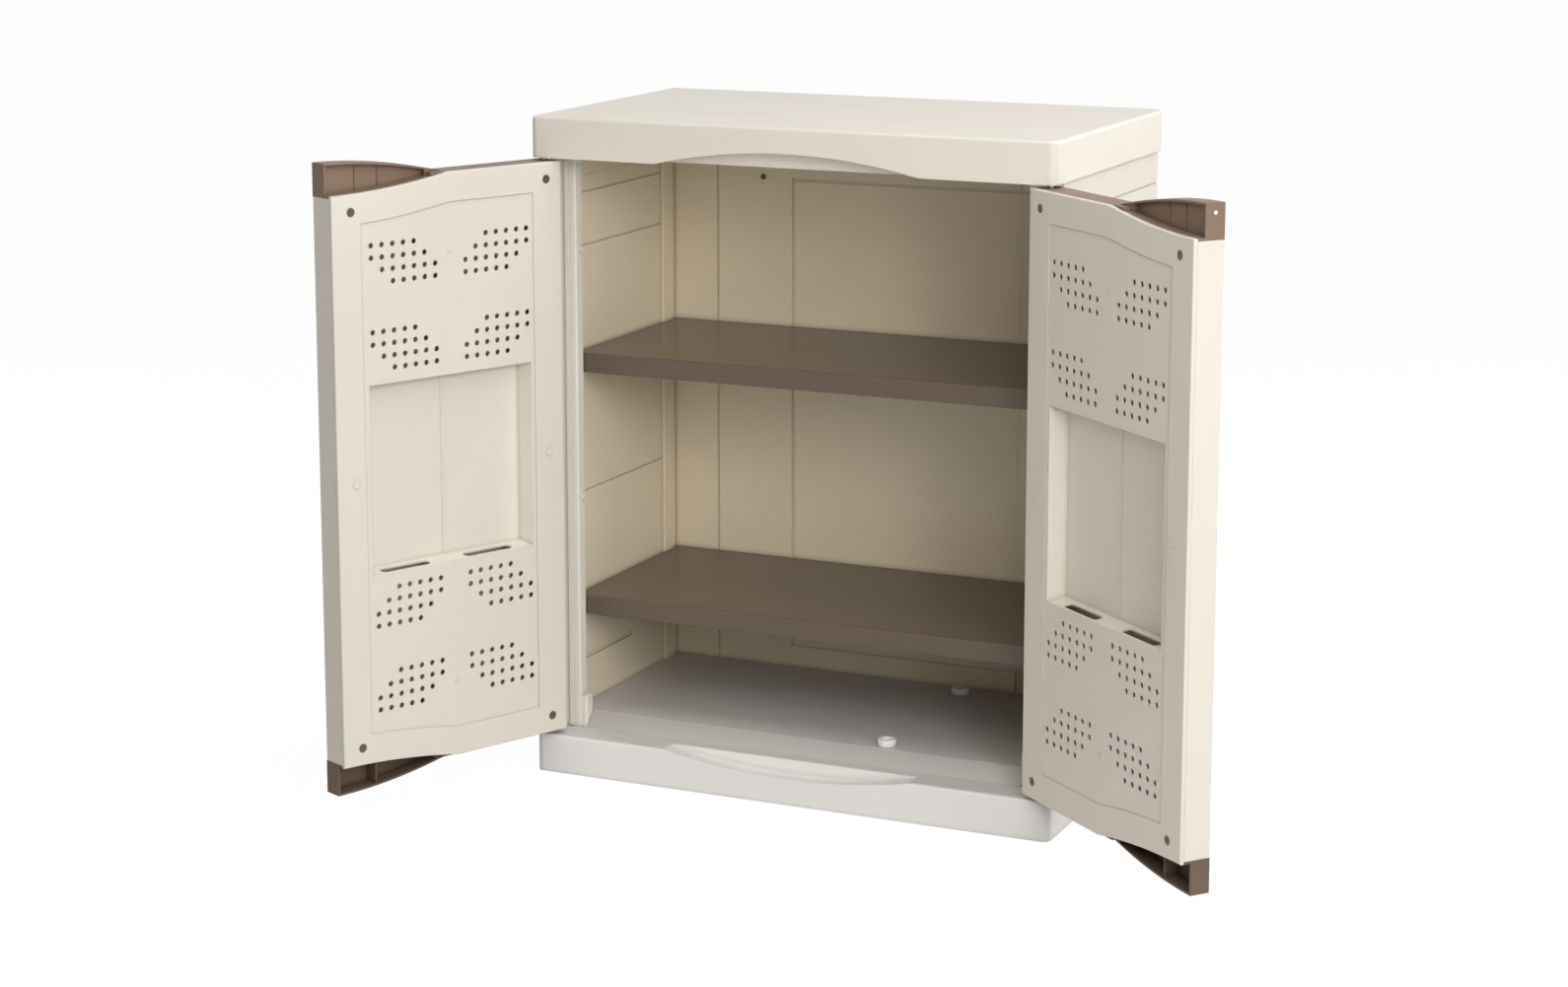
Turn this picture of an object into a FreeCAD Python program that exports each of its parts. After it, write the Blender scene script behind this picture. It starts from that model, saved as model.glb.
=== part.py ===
import FreeCAD, Part
import math
import os

Vector = FreeCAD.Vector
UP = Vector(0, 0, 1)

# Garden storage cabinet in moulded resin, millimetres.
# +Z is up, the doors face -Y, and the origin is the middle of the base's underside.

# Cabinet body
roof_width = 680.0
cabinet_depth = 396.0
cabinet_height = 829.0
apron_height = 51.0
base_overhang = 2.0
plinth_height = 50.0
floor_rise = 18.0
skin = 3.0
corner_radius = 10.0
edge_radius = 4.0
riser_depth = 18.0
riser_radius = 6.0

# Ribs under the roof, the floor and the shelves
rib_thickness = 2.4
rib_depth = 20.0
cell_size = 78.0

# Side walls and back panel, hollow boards with upright cells
wall_outer_inset = 5.0
wall_thickness = 18.0
wall_rear_inset = 6.0
board_skin = 3.0
board_cell = 66.0
seat_depth = 8.0
fit_clearance = 0.3
post_width = 35.0
post_depth = 17.5
post_front_clearance = 3.0
bead_width = 6.0
bead_offset = 20.0
bead_height = 2.0
post_foot_width = 8.0
post_foot_height = 22.0
corner_rib_height = 4.0
corner_rib_width = 26.0
corner_rib_gap = 15.0
top_rail_drop = 28.0
gusset_radius = 16.0
gusset_reach = 37.0
wall_groove_drops = (119.0, 52.0)
outer_groove_drops = (40.0, 119.0)
middle_groove_rise = 277.0
low_groove_rise = 60.0
groove_width = 2.4
groove_depth = 1.4
low_slot_width = 6.0
low_slot_depth = 1.9
low_slot_length = 160.0
lug_radius = 4.2
lug_height = 2.0
lug_inset = 4.5
back_thickness = 16.0
back_setback = 30.0
back_groove_x = (-253.0, 171.0)
back_field_left = -143.0
back_field_right = 262.0
back_field_drop = 59.0
back_field_rise = 28.0
back_field_depth = 1.2
field_groove_width = 3.5
field_groove_depth = 2.0
back_screw_x = 187.0
back_screw_drop = 55.5
back_screw_head_radius = 3.6
back_screw_head_height = 1.6
back_screw_radius = 1.5
back_screw_length = 9.0

# Shelves and what carries them
upper_shelf_drop = 250.0
lower_shelf_rise = 149.0
shelf_thickness = 24.0
shelf_skin = 2.8
shelf_clearance = 0.5
shelf_edge_radius = 2.5
peg_width = 14.0
peg_reach = 10.0
peg_height = 8.0
peg_stem_radius = 3.5
peg_stem_length = 2.8
peg_inset = 46.0

# Floor studs that locate a divider board
stud_radius = 11.5
stud_height = 9.0
stud_hole_radius = 6.5
stud_hole_depth = 6.0
stud_x = 106.0
stud_front_setback = 14.3
stud_rear_setback = 30.0

# Doors
door_side_inset = 4.5
door_thickness = 38.5
door_gap_top = 3.5
door_gap_bottom = 6.0
door_gap_middle = 3.0
left_open_angle = 114.0
right_open_angle = 141.0
panel_wall = 3.2
panel_rim_depth = 5.0
panel_rim_width = 2.5
panel_edge_radius = 1.4
shell_wall = 2.5
shell_edge_radius = 1.5
shell_field_inset = 30.0
shell_field_depth = 1.0
field_inset_hinge = 43.0
field_inset_free = 40.0
field_inset_height = 36.0
field_depth = 1.2

# Eye-shaped ends of the doors, an arch above or below and a dip in the cream panels
eye_share = 0.503
eye_dip = 16.0
lip_rise = 21.0
lip_thickness = 24.5
lip_clearance = 2.5
recess_depth = 26.0
cap_plate = 3.0
cap_wall = 2.5
cap_step_inset = 144.0
cap_collar_depth = 12.0
cap_rib_thickness = 2.0
top_pocket_depth = 7.0
top_rib_insets = (79.0, 47.0)
top_rib_height = 1.2
bottom_pocket_depth = 22.0
bottom_rib_insets = (56.0,)
bottom_rib_height = 19.0

# Bay, slots and vents of the inner door panels
bay_margin = 48.0
bay_share = 0.32
bay_depth = 24.0
bay_draft = 5.0
bay_wall = 2.2
bay_rib_width = 4.0
bay_rib_height = 0.6
slot_offsets = (-54.5, 67.5)
slot_length = 71.0
slot_width = 11.5
slot_setback = 4.5
vent_radius = 3.25
vent_pitch_across = 15.2
vent_pitch_up = 14.8
vent_hinge_inset = 52.9
vent_free_inset = 54.4
vent_row_shares = (0.782, 0.4946)
vent_rows = ((0, 5), (0, 6), (1, 6), (2, 5))
mark_radius = 5.5
mark_height = 0.7
gate_radius = 3.2
gate_height = 0.5
gate_drop = 94.0

# Screws that close the doors
screw_edge_distance = 21.0
screw_hinge_inset = 22.5
screw_free_inset = 26.5
screw_head_radius = 5.0
screw_head_height = 1.4
screw_shank_radius = 1.7
screw_length = 16.0
screw_hole_radius = 2.3
screw_sink_radius = 5.5
screw_sink_depth = 1.7
boss_radius = 4.5
pilot_depth = 17.0

# Hinge pins
pin_radius = 3.0
pin_from_edge = 7.0
pin_from_inner_face = 24.0
pin_in_cap = 15.0
pin_in_socket = 13.0
pin_socket_depth = 16.0
pin_clearance = 0.05
pin_boss_radius = 9.5
pin_collar_radius = 6.0
pin_block_half = 8.0

# Small closing bumper in the right door's top cap
bumper_radius = 2.3
bumper_stem = 2.0
bumper_proud = 0.6
bumper_above_door = 10.5

# Moulded pads under the base
pad_size = 44.0
pad_height = 3.0

# Places that follow from the sizes above
roof_half = roof_width / 2
base_half = roof_half + base_overhang
front_y = -cabinet_depth / 2
rear_y = cabinet_depth / 2
apron_bottom = cabinet_height - apron_height
floor_height = plinth_height + floor_rise
roof_underside = cabinet_height - skin
rib_bottom = roof_underside - rib_depth
door_inner_y = front_y + door_thickness
door_top = apron_bottom - door_gap_top
door_bottom = plinth_height + door_gap_bottom
door_middle = (door_top + door_bottom) / 2
door_free_x = -door_gap_middle / 2
door_hinge_x = door_side_inset - roof_half
door_width = door_free_x - door_hinge_x
eye_half_width = eye_share * door_width
pin_x = door_hinge_x + pin_from_edge
pin_y = door_inner_y - pin_from_inner_face
post_front_y = door_inner_y + post_front_clearance
post_rear_y = post_front_y + post_depth
wall_outer_x = -(roof_half - wall_outer_inset)
wall_inner_x = wall_outer_x + wall_thickness
wall_rear_y = rear_y - wall_rear_inset
post_inner_x = wall_outer_x + post_width
back_rear_y = rear_y - back_setback
back_front_y = back_rear_y - back_thickness
corner_rib_rear = back_front_y - corner_rib_gap
corner_rib_front = corner_rib_rear - corner_rib_width
seat_bottom = floor_height - seat_depth
step_y = post_front_y - fit_clearance
crest_y = step_y + riser_depth
recess_rear_y = front_y + recess_depth
upper_shelf_top = apron_bottom - upper_shelf_drop
lower_shelf_top = floor_height + lower_shelf_rise
back_screw_z = apron_bottom - back_screw_drop
back_field_top = apron_bottom - back_field_drop
back_field_bottom = floor_height + back_field_rise
middle_groove_height = floor_height + middle_groove_rise
low_groove_height = floor_height + low_groove_rise


def block(x0, x1, y0, y1, z0, z1):
    """Box between two corners."""
    return Part.makeBox(x1 - x0, y1 - y0, z1 - z0, Vector(x0, y0, z0))


def rod(x, y, z0, z1, radius):
    """Upright cylinder."""
    return Part.makeCylinder(radius, z1 - z0, Vector(x, y, z0))


def rod_back(x, y0, y1, z, radius):
    """Cylinder that runs along +Y."""
    return Part.makeCylinder(radius, y1 - y0, Vector(x, y0, z), Vector(0, 1, 0))


def rod_right(x0, x1, y, z, radius):
    """Cylinder that runs along +X."""
    return Part.makeCylinder(radius, x1 - x0, Vector(x0, y, z), Vector(1, 0, 0))


def join(shapes):
    """One solid from touching or overlapping shapes."""
    whole = shapes[0].multiFuse(shapes[1:]) if len(shapes) > 1 else shapes[0]
    return whole.removeSplitter()


def less(shape, tools):
    """Shape with every tool cut out of it."""
    return shape.cut(Part.makeCompound(tools)) if tools else shape


def round_upright_edges(shape, radius, chosen=lambda x, y: True):
    """Fillet the straight vertical edges that stand at the chosen places."""
    edges = []
    for edge in shape.Edges:
        ends = [vertex.Point for vertex in edge.Vertexes]
        if len(ends) != 2 or math.hypot(ends[0].x - ends[1].x, ends[0].y - ends[1].y) > 0.001:
            continue
        if chosen(ends[0].x, ends[0].y):
            edges.append(edge)
    return shape.makeFillet(radius, edges)


def round_plane_edges(shape, radius, axis, place, chosen=lambda point: True):
    """Fillet the edges that lie in the plane where one coordinate has the given value."""
    edges = []
    for edge in shape.Edges:
        box = edge.BoundBox
        low, high = (box.YMin, box.YMax) if axis == "y" else (box.ZMin, box.ZMax)
        if abs(low - place) < 0.01 and abs(high - place) < 0.01 and chosen(edge.CenterOfMass):
            edges.append(edge)
    return shape.makeFillet(radius, edges)


def arc_segment(half_width, chord_z, rise, y0, y1):
    """Slab between a level chord and a circular arc above it, or below it where rise is negative."""
    left = Vector(-half_width, y0, chord_z)
    top = Vector(0, y0, chord_z + rise)
    right = Vector(half_width, y0, chord_z)
    arc = Part.Arc(left, top, right).toShape()
    chord = Part.makeLine(right, left)
    return Part.Face(Part.Wire([arc, chord])).extrude(Vector(0, y1 - y0, 0))


def tapered_block(x0, x1, z0, z1, y_wide, y_narrow, draft):
    """Block whose rectangle shrinks by the draft on every side between two planes."""
    wires = []
    for y, inset in ((y_wide, 0.0), (y_narrow, draft)):
        corners = [
            Vector(x0 + inset, y, z0 + inset),
            Vector(x1 - inset, y, z0 + inset),
            Vector(x1 - inset, y, z1 - inset),
            Vector(x0 + inset, y, z1 - inset),
        ]
        wires.append(Part.makePolygon(corners + corners[:1]))
    return Part.makeLoft(wires, True, True)


def evenly(low, high, longest):
    """Places of the walls that divide a length into equal cells no longer than given."""
    count = max(1, math.ceil((high - low) / longest))
    return [low + (high - low) * i / count for i in range(1, count)]


def rib_grid(x0, x1, y0, y1, z0, z1):
    """Crossed ribs that divide a tray into cells."""
    half = rib_thickness / 2
    ribs = [block(x - half, x + half, y0, y1, z0, z1) for x in evenly(x0, x1, cell_size)]
    ribs += [block(x0, x1, y - half, y + half, z0, z1) for y in evenly(y0, y1, cell_size)]
    return ribs


def mirrored(shape):
    """The same piece on the other side of the cabinet."""
    return shape.mirror(Vector(0, 0, 0), Vector(1, 0, 0))


def upside_down(shape):
    """The same door end at the other end of the door."""
    return shape.mirror(Vector(0, 0, door_middle), UP)


def both_sides(shape):
    """A shape and its mirror image."""
    return [shape, mirrored(shape)]


def pin_socket(z0, z1):
    """Hole for one left hinge pin, with its running clearance."""
    return rod(pin_x, pin_y, z0, z1, pin_radius + pin_clearance)


def roof():
    """Roof tray with its apron, arched pocket, ribs and hinge sockets."""
    body = block(-roof_half, roof_half, front_y, rear_y, apron_bottom, cabinet_height)
    body = round_upright_edges(body, corner_radius)
    body = round_plane_edges(body, edge_radius, "z", cabinet_height)
    inside_x = roof_half - skin
    inside_front = front_y + skin
    inside_rear = rear_y - skin
    hollow = block(-inside_x, inside_x, inside_front, inside_rear, apron_bottom - 1, roof_underside)
    hollow = round_upright_edges(hollow, corner_radius - skin)
    shell = body.cut(hollow)
    beam_rear = recess_rear_y + skin
    parts = [shell, block(-inside_x, inside_x, recess_rear_y, beam_rear, apron_bottom, roof_underside)]
    parts += rib_grid(-inside_x, inside_x, beam_rear, inside_rear, rib_bottom, roof_underside)
    half = rib_thickness / 2
    for x in evenly(-inside_x, inside_x, cell_size):
        parts.append(block(x - half, x + half, inside_front, recess_rear_y, rib_bottom, roof_underside))
    arch_half = eye_half_width + lip_clearance
    arch_rise = door_top + lip_rise + lip_clearance - apron_bottom
    parts.append(arc_segment(arch_half + skin, apron_bottom, arch_rise + skin, inside_front, recess_rear_y))
    parts += both_sides(rod(pin_x, pin_y, apron_bottom, roof_underside, pin_boss_radius))
    rail_top = roof_underside
    rail_low = rib_bottom - seat_depth
    rail_x = wall_inner_x + fit_clearance
    wall_rail = block(rail_x, rail_x + rib_thickness, post_rear_y + fit_clearance, corner_rib_front - 1.0,
                      rail_low, rail_top)
    parts += both_sides(wall_rail)
    panel_rail_y = back_rear_y + fit_clearance
    parts.append(block(wall_inner_x + 1.0, -wall_inner_x - 1.0, panel_rail_y, panel_rail_y + rib_thickness,
                       rail_low, rail_top))
    whole = join(parts)
    pocket = arc_segment(arch_half, apron_bottom, arch_rise, front_y - 1, recess_rear_y)
    sockets = both_sides(pin_socket(apron_bottom - 1, apron_bottom + pin_socket_depth))
    return less(whole, [pocket] + sockets)


def post_footprint(clearance, z0, z1):
    """Space that the left wall's front post and its foot take in plan, grown by a clearance."""
    return block(wall_outer_x - clearance, post_inner_x + post_foot_width + clearance,
                 post_front_y - clearance, post_rear_y + clearance, z0, z1)


def wall_footprint(clearance, z0, z1, post_z0):
    """Space that the left side wall takes in plan, grown by a clearance, deeper under its post."""
    strip = block(wall_outer_x - clearance, wall_inner_x + clearance, post_front_y - clearance,
                  wall_rear_y + clearance, z0, z1)
    return strip.fuse(post_footprint(clearance, post_z0, z1))


def back_footprint(clearance, z0, z1):
    """Space that the back panel takes in plan, grown by a clearance."""
    half = -wall_inner_x - fit_clearance
    return block(-half, half, back_front_y - clearance, back_rear_y + clearance, z0, z1)


def behind_riser(half, far_y, z0, z1, offset):
    """Block across the cabinet between a far plane and the riser's slope, moved back by an offset."""
    run = riser_depth / floor_rise
    slope_y = step_y + offset * math.hypot(riser_depth, floor_rise) / floor_rise
    corners = [
        Vector(-half, slope_y + (z0 - plinth_height) * run, z0),
        Vector(-half, slope_y + (z1 - plinth_height) * run, z1),
        Vector(-half, far_y, z1),
        Vector(-half, far_y, z0),
    ]
    return Part.Face(Part.makePolygon(corners + corners[:1])).extrude(Vector(2 * half, 0, 0))


def base():
    """Base tray with its plinth, sloping riser, floor, arched recess, wall seats and hinge sockets."""
    plinth = block(-base_half, base_half, front_y, rear_y, 0, plinth_height)
    plinth = round_upright_edges(plinth, corner_radius)
    is_front = lambda point: point.y < step_y
    plinth = round_plane_edges(plinth, edge_radius, "z", plinth_height, is_front)
    platform = behind_riser(base_half, rear_y, plinth_height - edge_radius - 1, floor_height, 0.0)
    platform = round_upright_edges(platform, corner_radius, lambda x, y: y > 0)
    at_crest = lambda point: abs(point.y - crest_y) < 0.01
    platform = round_plane_edges(platform, riser_radius, "z", floor_height, at_crest)
    at_side = lambda point: abs(point.x) > base_half - 1
    platform = round_plane_edges(platform, edge_radius, "z", floor_height, at_side)
    body = join([plinth, platform])
    inside_x = base_half - skin
    inside_front = front_y + skin
    inside_rear = rear_y - skin
    low_hollow = block(-inside_x, inside_x, inside_front, inside_rear, -1, plinth_height - skin)
    low_hollow = round_upright_edges(low_hollow, corner_radius - skin)
    high_hollow = behind_riser(inside_x, inside_rear, plinth_height - skin - 1, floor_height - skin, skin)
    high_hollow = round_upright_edges(high_hollow, corner_radius - skin, lambda x, y: y > 0)
    shell = less(body, [low_hollow, high_hollow])
    ground = 1.0
    under = step_y + skin
    ribs = rib_grid(-inside_x, inside_x, under, inside_rear, ground, floor_height - skin)
    ribs.append(block(-inside_x, inside_x, step_y, under, ground, floor_height - skin))
    ahead = behind_riser(inside_x + 1, step_y - 1, plinth_height - skin, floor_height + 1, skin)
    parts = [shell] + [rib.cut(ahead) for rib in ribs]
    half = rib_thickness / 2
    for x in evenly(-inside_x, inside_x, cell_size):
        parts.append(block(x - half, x + half, inside_front, under, ground, plinth_height - skin))
    recess_half = eye_half_width + lip_clearance
    recess_drop = plinth_height - (door_bottom - lip_rise - lip_clearance)
    parts.append(arc_segment(recess_half + skin, plinth_height - 1, 1 - recess_drop - skin, inside_front,
                             recess_rear_y + skin))
    parts += both_sides(rod(pin_x, pin_y, plinth_height - pin_socket_depth - skin, plinth_height - 1,
                            pin_boss_radius))
    trough = wall_footprint(fit_clearance + skin, seat_bottom - skin, floor_height - 1,
                            plinth_height - skin)
    clip = block(-inside_x - 1, inside_x + 1, step_y + 1, inside_rear + 1, 0, floor_height)
    in_front = behind_riser(base_half, step_y - skin, plinth_height - skin / 2, floor_height + 1, skin / 6)
    parts += both_sides(trough.common(clip).cut(in_front))
    parts.append(back_footprint(fit_clearance + skin, seat_bottom - skin, floor_height - 1))
    pad = pad_size / 2
    parts.append(block(-pad, pad, -pad, pad, 0, pad_height))
    for x in (-inside_x, inside_x - pad_size):
        for y in (inside_front, inside_rear - pad_size):
            corner = block(x, x + pad_size, y, y + pad_size, 0, pad_height)
            parts.append(corner.common(low_hollow))
    whole = join(parts)
    cuts = [arc_segment(recess_half, plinth_height, -recess_drop, front_y - 1, recess_rear_y)]
    cuts.append(block(-recess_half, recess_half, front_y - 1, recess_rear_y, plinth_height,
                      plinth_height + 1))
    cuts += both_sides(pin_socket(plinth_height - pin_socket_depth, plinth_height + 1))
    cuts += both_sides(wall_footprint(fit_clearance, seat_bottom, floor_height + 1, plinth_height))
    cuts.append(back_footprint(fit_clearance, seat_bottom, floor_height + 1))
    return less(whole, cuts)


def peg_places():
    """Depths at which the shelf pegs stand."""
    return (post_rear_y + peg_inset / 2, corner_rib_front - peg_inset / 2)


def shelf_undersides():
    """Heights of the undersides of both shelves."""
    return (upper_shelf_top - shelf_thickness, lower_shelf_top - shelf_thickness)


def upright_cells(x0, x1, y0, y1, z0, z1, along):
    """Upright hollow cells between the two faces of a board, divided by webs."""
    low, high = (y0, y1) if along == "y" else (x0, x1)
    marks = [low] + evenly(low, high, board_cell) + [high]
    half = board_skin / 2
    cells = []
    for i in range(len(marks) - 1):
        start = marks[i] + (half if i else 0.0)
        end = marks[i + 1] - (half if i < len(marks) - 2 else 0.0)
        if along == "y":
            cells.append(block(x0, x1, start, end, z0, z1))
        else:
            cells.append(block(start, end, y0, y1, z0, z1))
    return cells


def top_rail():
    """Rail along the top of the left wall, with a rounded corner where it meets the post."""
    low = apron_bottom - top_rail_drop
    x0 = wall_inner_x - 1
    x1 = wall_inner_x + corner_rib_height
    rail = block(x0, x1, post_rear_y - 1, corner_rib_front + 1, low, rib_bottom - seat_depth - 1.0)
    y = post_rear_y + gusset_reach
    gusset = block(x0, x1, post_rear_y - 1, y, low - gusset_radius, low + 1)
    gusset = gusset.cut(rod_right(x0, x1, y, low - gusset_radius, gusset_radius))
    return join([rail, gusset])


def left_side_wall():
    """Side wall with its front post, bead, top rail, corner rib, lugs, grooves and peg holes."""
    strip = block(wall_outer_x, wall_inner_x, post_front_y, wall_rear_y, seat_bottom, rib_bottom)
    post = block(wall_outer_x, post_inner_x, post_front_y, post_rear_y, plinth_height, rib_bottom)
    post = round_upright_edges(post, 2.0, lambda x, y: x > wall_inner_x)
    bead_x = wall_outer_x + bead_offset
    bead = block(bead_x, bead_x + bead_width, post_front_y - bead_height, post_front_y,
                 plinth_height + 1.0, apron_bottom - 1.0)
    foot = block(post_inner_x - 1, post_inner_x + post_foot_width, post_front_y + 1.0, post_rear_y,
                 plinth_height, floor_height + post_foot_height)
    foot = round_upright_edges(foot, 2.0, lambda x, y: x > post_inner_x)
    haunch = block(post_inner_x - 1, post_inner_x + post_foot_width, post_front_y + 1.0, post_rear_y,
                   apron_bottom - 10.0, rib_bottom)
    corner = block(wall_inner_x - 1, wall_inner_x + corner_rib_height, corner_rib_front, corner_rib_rear,
                   floor_height, rib_bottom)
    corner = round_upright_edges(corner, 2.0, lambda x, y: x > wall_inner_x)
    lugs = []
    for z in (apron_bottom - wall_groove_drops[0], middle_groove_height):
        lugs.append(rod_right(post_inner_x - 1, post_inner_x + lug_height, post_rear_y - lug_inset, z,
                              lug_radius))
    body = join([strip, post, bead, foot, haunch, corner, top_rail()] + lugs)
    cell_x0 = wall_outer_x + board_skin
    cell_x1 = wall_inner_x - board_skin
    below = seat_bottom - 1
    above = rib_bottom + 1
    cuts = upright_cells(cell_x0, cell_x1, post_rear_y, wall_rear_y - board_skin, below, above, "y")
    cuts.append(block(cell_x0, post_inner_x - board_skin, post_front_y + board_skin,
                      post_rear_y - board_skin, plinth_height - 1, above))
    for z in [apron_bottom - drop for drop in wall_groove_drops] + [middle_groove_height]:
        cuts.append(block(wall_inner_x - groove_depth, wall_inner_x, post_rear_y, corner_rib_front,
                          z - groove_width / 2, z + groove_width / 2))
    outer = [apron_bottom - drop for drop in outer_groove_drops]
    for z in outer + [middle_groove_height, low_groove_height]:
        cuts.append(block(wall_outer_x, wall_outer_x + groove_depth, post_front_y, wall_rear_y,
                          z - groove_width / 2, z + groove_width / 2))
    cuts.append(block(wall_inner_x - low_slot_depth, wall_inner_x, post_rear_y,
                      post_rear_y + low_slot_length, low_groove_height - low_slot_width / 2,
                      low_groove_height + low_slot_width / 2))
    for y in peg_places():
        for z in shelf_undersides():
            cuts.append(rod_right(cell_x1 - 1, wall_inner_x, y, z - peg_height / 2, peg_stem_radius))
    return less(body, cuts)


def back_panel():
    """Back panel with its upright grooves, its sunk field and two screw holes."""
    body = back_footprint(0.0, seat_bottom, rib_bottom)
    half = -wall_inner_x - fit_clearance
    cuts = upright_cells(-half + board_skin, half - board_skin, back_front_y + board_skin,
                         back_rear_y - board_skin, seat_bottom - 1, rib_bottom + 1, "x")
    cuts.append(block(back_field_left, back_field_right, back_front_y, back_front_y + back_field_depth,
                      back_field_bottom, back_field_top))
    depth = back_front_y + groove_depth
    for x in back_groove_x:
        cuts.append(block(x - groove_width / 2, x + groove_width / 2, back_front_y, depth, floor_height + 1,
                          rib_bottom))
    frame_depth = back_front_y + field_groove_depth
    cuts.append(block(back_field_left - field_groove_width, back_field_left, back_front_y, frame_depth,
                      back_field_bottom, back_field_top + field_groove_width))
    cuts.append(block(back_field_left, back_field_right, back_front_y, frame_depth, back_field_top,
                      back_field_top + field_groove_width))
    for x in (-back_screw_x, back_screw_x):
        cuts.append(rod_back(x, back_front_y, back_front_y + back_screw_length, back_screw_z,
                             back_screw_radius))
    return less(body, cuts)


def back_panel_screws():
    """Two screws high on the back panel."""
    screws = []
    for x in (-back_screw_x, back_screw_x):
        head = rod_back(x, back_front_y - back_screw_head_height, back_front_y, back_screw_z,
                        back_screw_head_radius)
        shank = rod_back(x, back_front_y, back_front_y + back_screw_length, back_screw_z, back_screw_radius)
        screws.append(join([head, shank]))
    return Part.makeCompound(screws)


def shelf(top):
    """Lift-out shelf tray with ribs underneath and notches for the rear corner ribs."""
    bottom = top - shelf_thickness
    half = -wall_inner_x - shelf_clearance
    y0 = post_rear_y + 1.5
    y1 = back_front_y - shelf_clearance
    body = block(-half, half, y0, y1, bottom, top)
    body = round_plane_edges(body, shelf_edge_radius, "z", top)
    hollow = block(-half + shelf_skin, half - shelf_skin, y0 + shelf_skin, y1 - shelf_skin, bottom - 1,
                   top - shelf_skin)
    notch_x = -half + corner_rib_height + shelf_clearance
    notch_y0 = corner_rib_front - 2 * shelf_clearance
    notch_y1 = corner_rib_rear + 2 * shelf_clearance
    notch = block(-half - 1, notch_x, notch_y0, notch_y1, bottom - 1, top + 1)
    notch_wall = block(-half, notch_x + shelf_skin, notch_y0 - shelf_skin, notch_y1 + shelf_skin, bottom,
                       top - 1)
    ribs = rib_grid(-half + shelf_skin, half - shelf_skin, y0 + shelf_skin, y1 - shelf_skin, bottom + 4.0,
                    top - shelf_skin)
    whole = join([body.cut(hollow)] + ribs + both_sides(notch_wall))
    return less(whole, both_sides(notch))


def shelf_pegs(top):
    """Four pegs in the side walls that carry one shelf."""
    z1 = top - shelf_thickness
    z0 = z1 - peg_height
    pegs = []
    for y in peg_places():
        head = block(wall_inner_x, wall_inner_x + peg_reach, y - peg_width / 2, y + peg_width / 2, z0, z1)
        stem = rod_right(wall_inner_x - peg_stem_length, wall_inner_x, y, z0 + peg_height / 2,
                         peg_stem_radius)
        pegs += both_sides(join([head, stem]))
    return Part.makeCompound(pegs)


def floor_studs():
    """Two short studs on the floor that locate a divider board."""
    studs = []
    for y in (crest_y + stud_front_setback, back_front_y - stud_rear_setback):
        body = rod(stud_x, y, floor_height, floor_height + stud_height, stud_radius)
        body = round_plane_edges(body, 1.2, "z", floor_height + stud_height)
        hole = rod(stud_x, y, floor_height + stud_height - stud_hole_depth, floor_height + stud_height + 1,
                   stud_hole_radius)
        studs.append(body.cut(hole))
    return Part.makeCompound(studs)


def door_slab(y0, y1, end_inset, side_inset=0.0, field_free=None):
    """Outline of the closed left door with its dips at both ends, as a slab, shrunk by the insets."""
    low = door_bottom + end_inset
    high = door_top - end_inset
    right = door_free_x - (side_inset if field_free is None else field_free)
    slab = block(door_hinge_x + side_inset, right, y0, y1, low, high)
    dips = [arc_segment(eye_half_width, high, -eye_dip, y0, y1),
            arc_segment(eye_half_width, low, eye_dip, y0, y1)]
    return less(slab, dips)


def dip_height(x):
    """Depth of the dip in the door's end below its straight part, at a place across the cabinet."""
    if abs(x) >= eye_half_width:
        return 0.0
    radius = (eye_half_width ** 2 + eye_dip ** 2) / (2 * eye_dip)
    return eye_dip - (radius - math.sqrt(radius ** 2 - x ** 2))


def screw_columns():
    """Places across the cabinet where the closed left door's screws and marks stand."""
    return (door_hinge_x + screw_hinge_inset, door_free_x - screw_free_inset)


def screw_places():
    """Places of the four screws in the closed left door, as x and z."""
    places = []
    for x in screw_columns():
        drop = dip_height(x) + screw_edge_distance
        places.append((x, door_top - drop))
        places.append((x, door_bottom + drop))
    return places


def vent_places():
    """Centres of all vent holes in the closed left door, as x and z."""
    places = []
    half_height = (door_top - door_bottom) / 2
    for share in vent_row_shares:
        for row, (first, count) in enumerate(vent_rows):
            rise = share * half_height - row * vent_pitch_up
            for column in range(first, first + count):
                hinge_x = door_hinge_x + vent_hinge_inset + column * vent_pitch_across
                free_x = door_free_x - vent_free_inset - column * vent_pitch_across
                for x in (hinge_x, free_x):
                    places.append((x, door_middle + rise))
                    places.append((x, door_middle - rise))
    return places


def bay_height():
    """Height of the storage bay's mouth."""
    return bay_share * (door_top - door_bottom)


def ledge_slot(x):
    """Long slot with round ends through the lower ledge of the bay."""
    z0 = door_middle - bay_height() / 2 - bay_wall - 1
    z1 = z0 + bay_wall + bay_draft + 2
    radius = slot_width / 2
    y = door_inner_y - slot_setback - radius
    half = slot_length / 2 - radius
    middle = block(x - half, x + half, y - radius, y + radius, z0, z1)
    return join([middle, rod(x - half, y, z0, z1, radius), rod(x + half, y, z0, z1, radius)])


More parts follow.
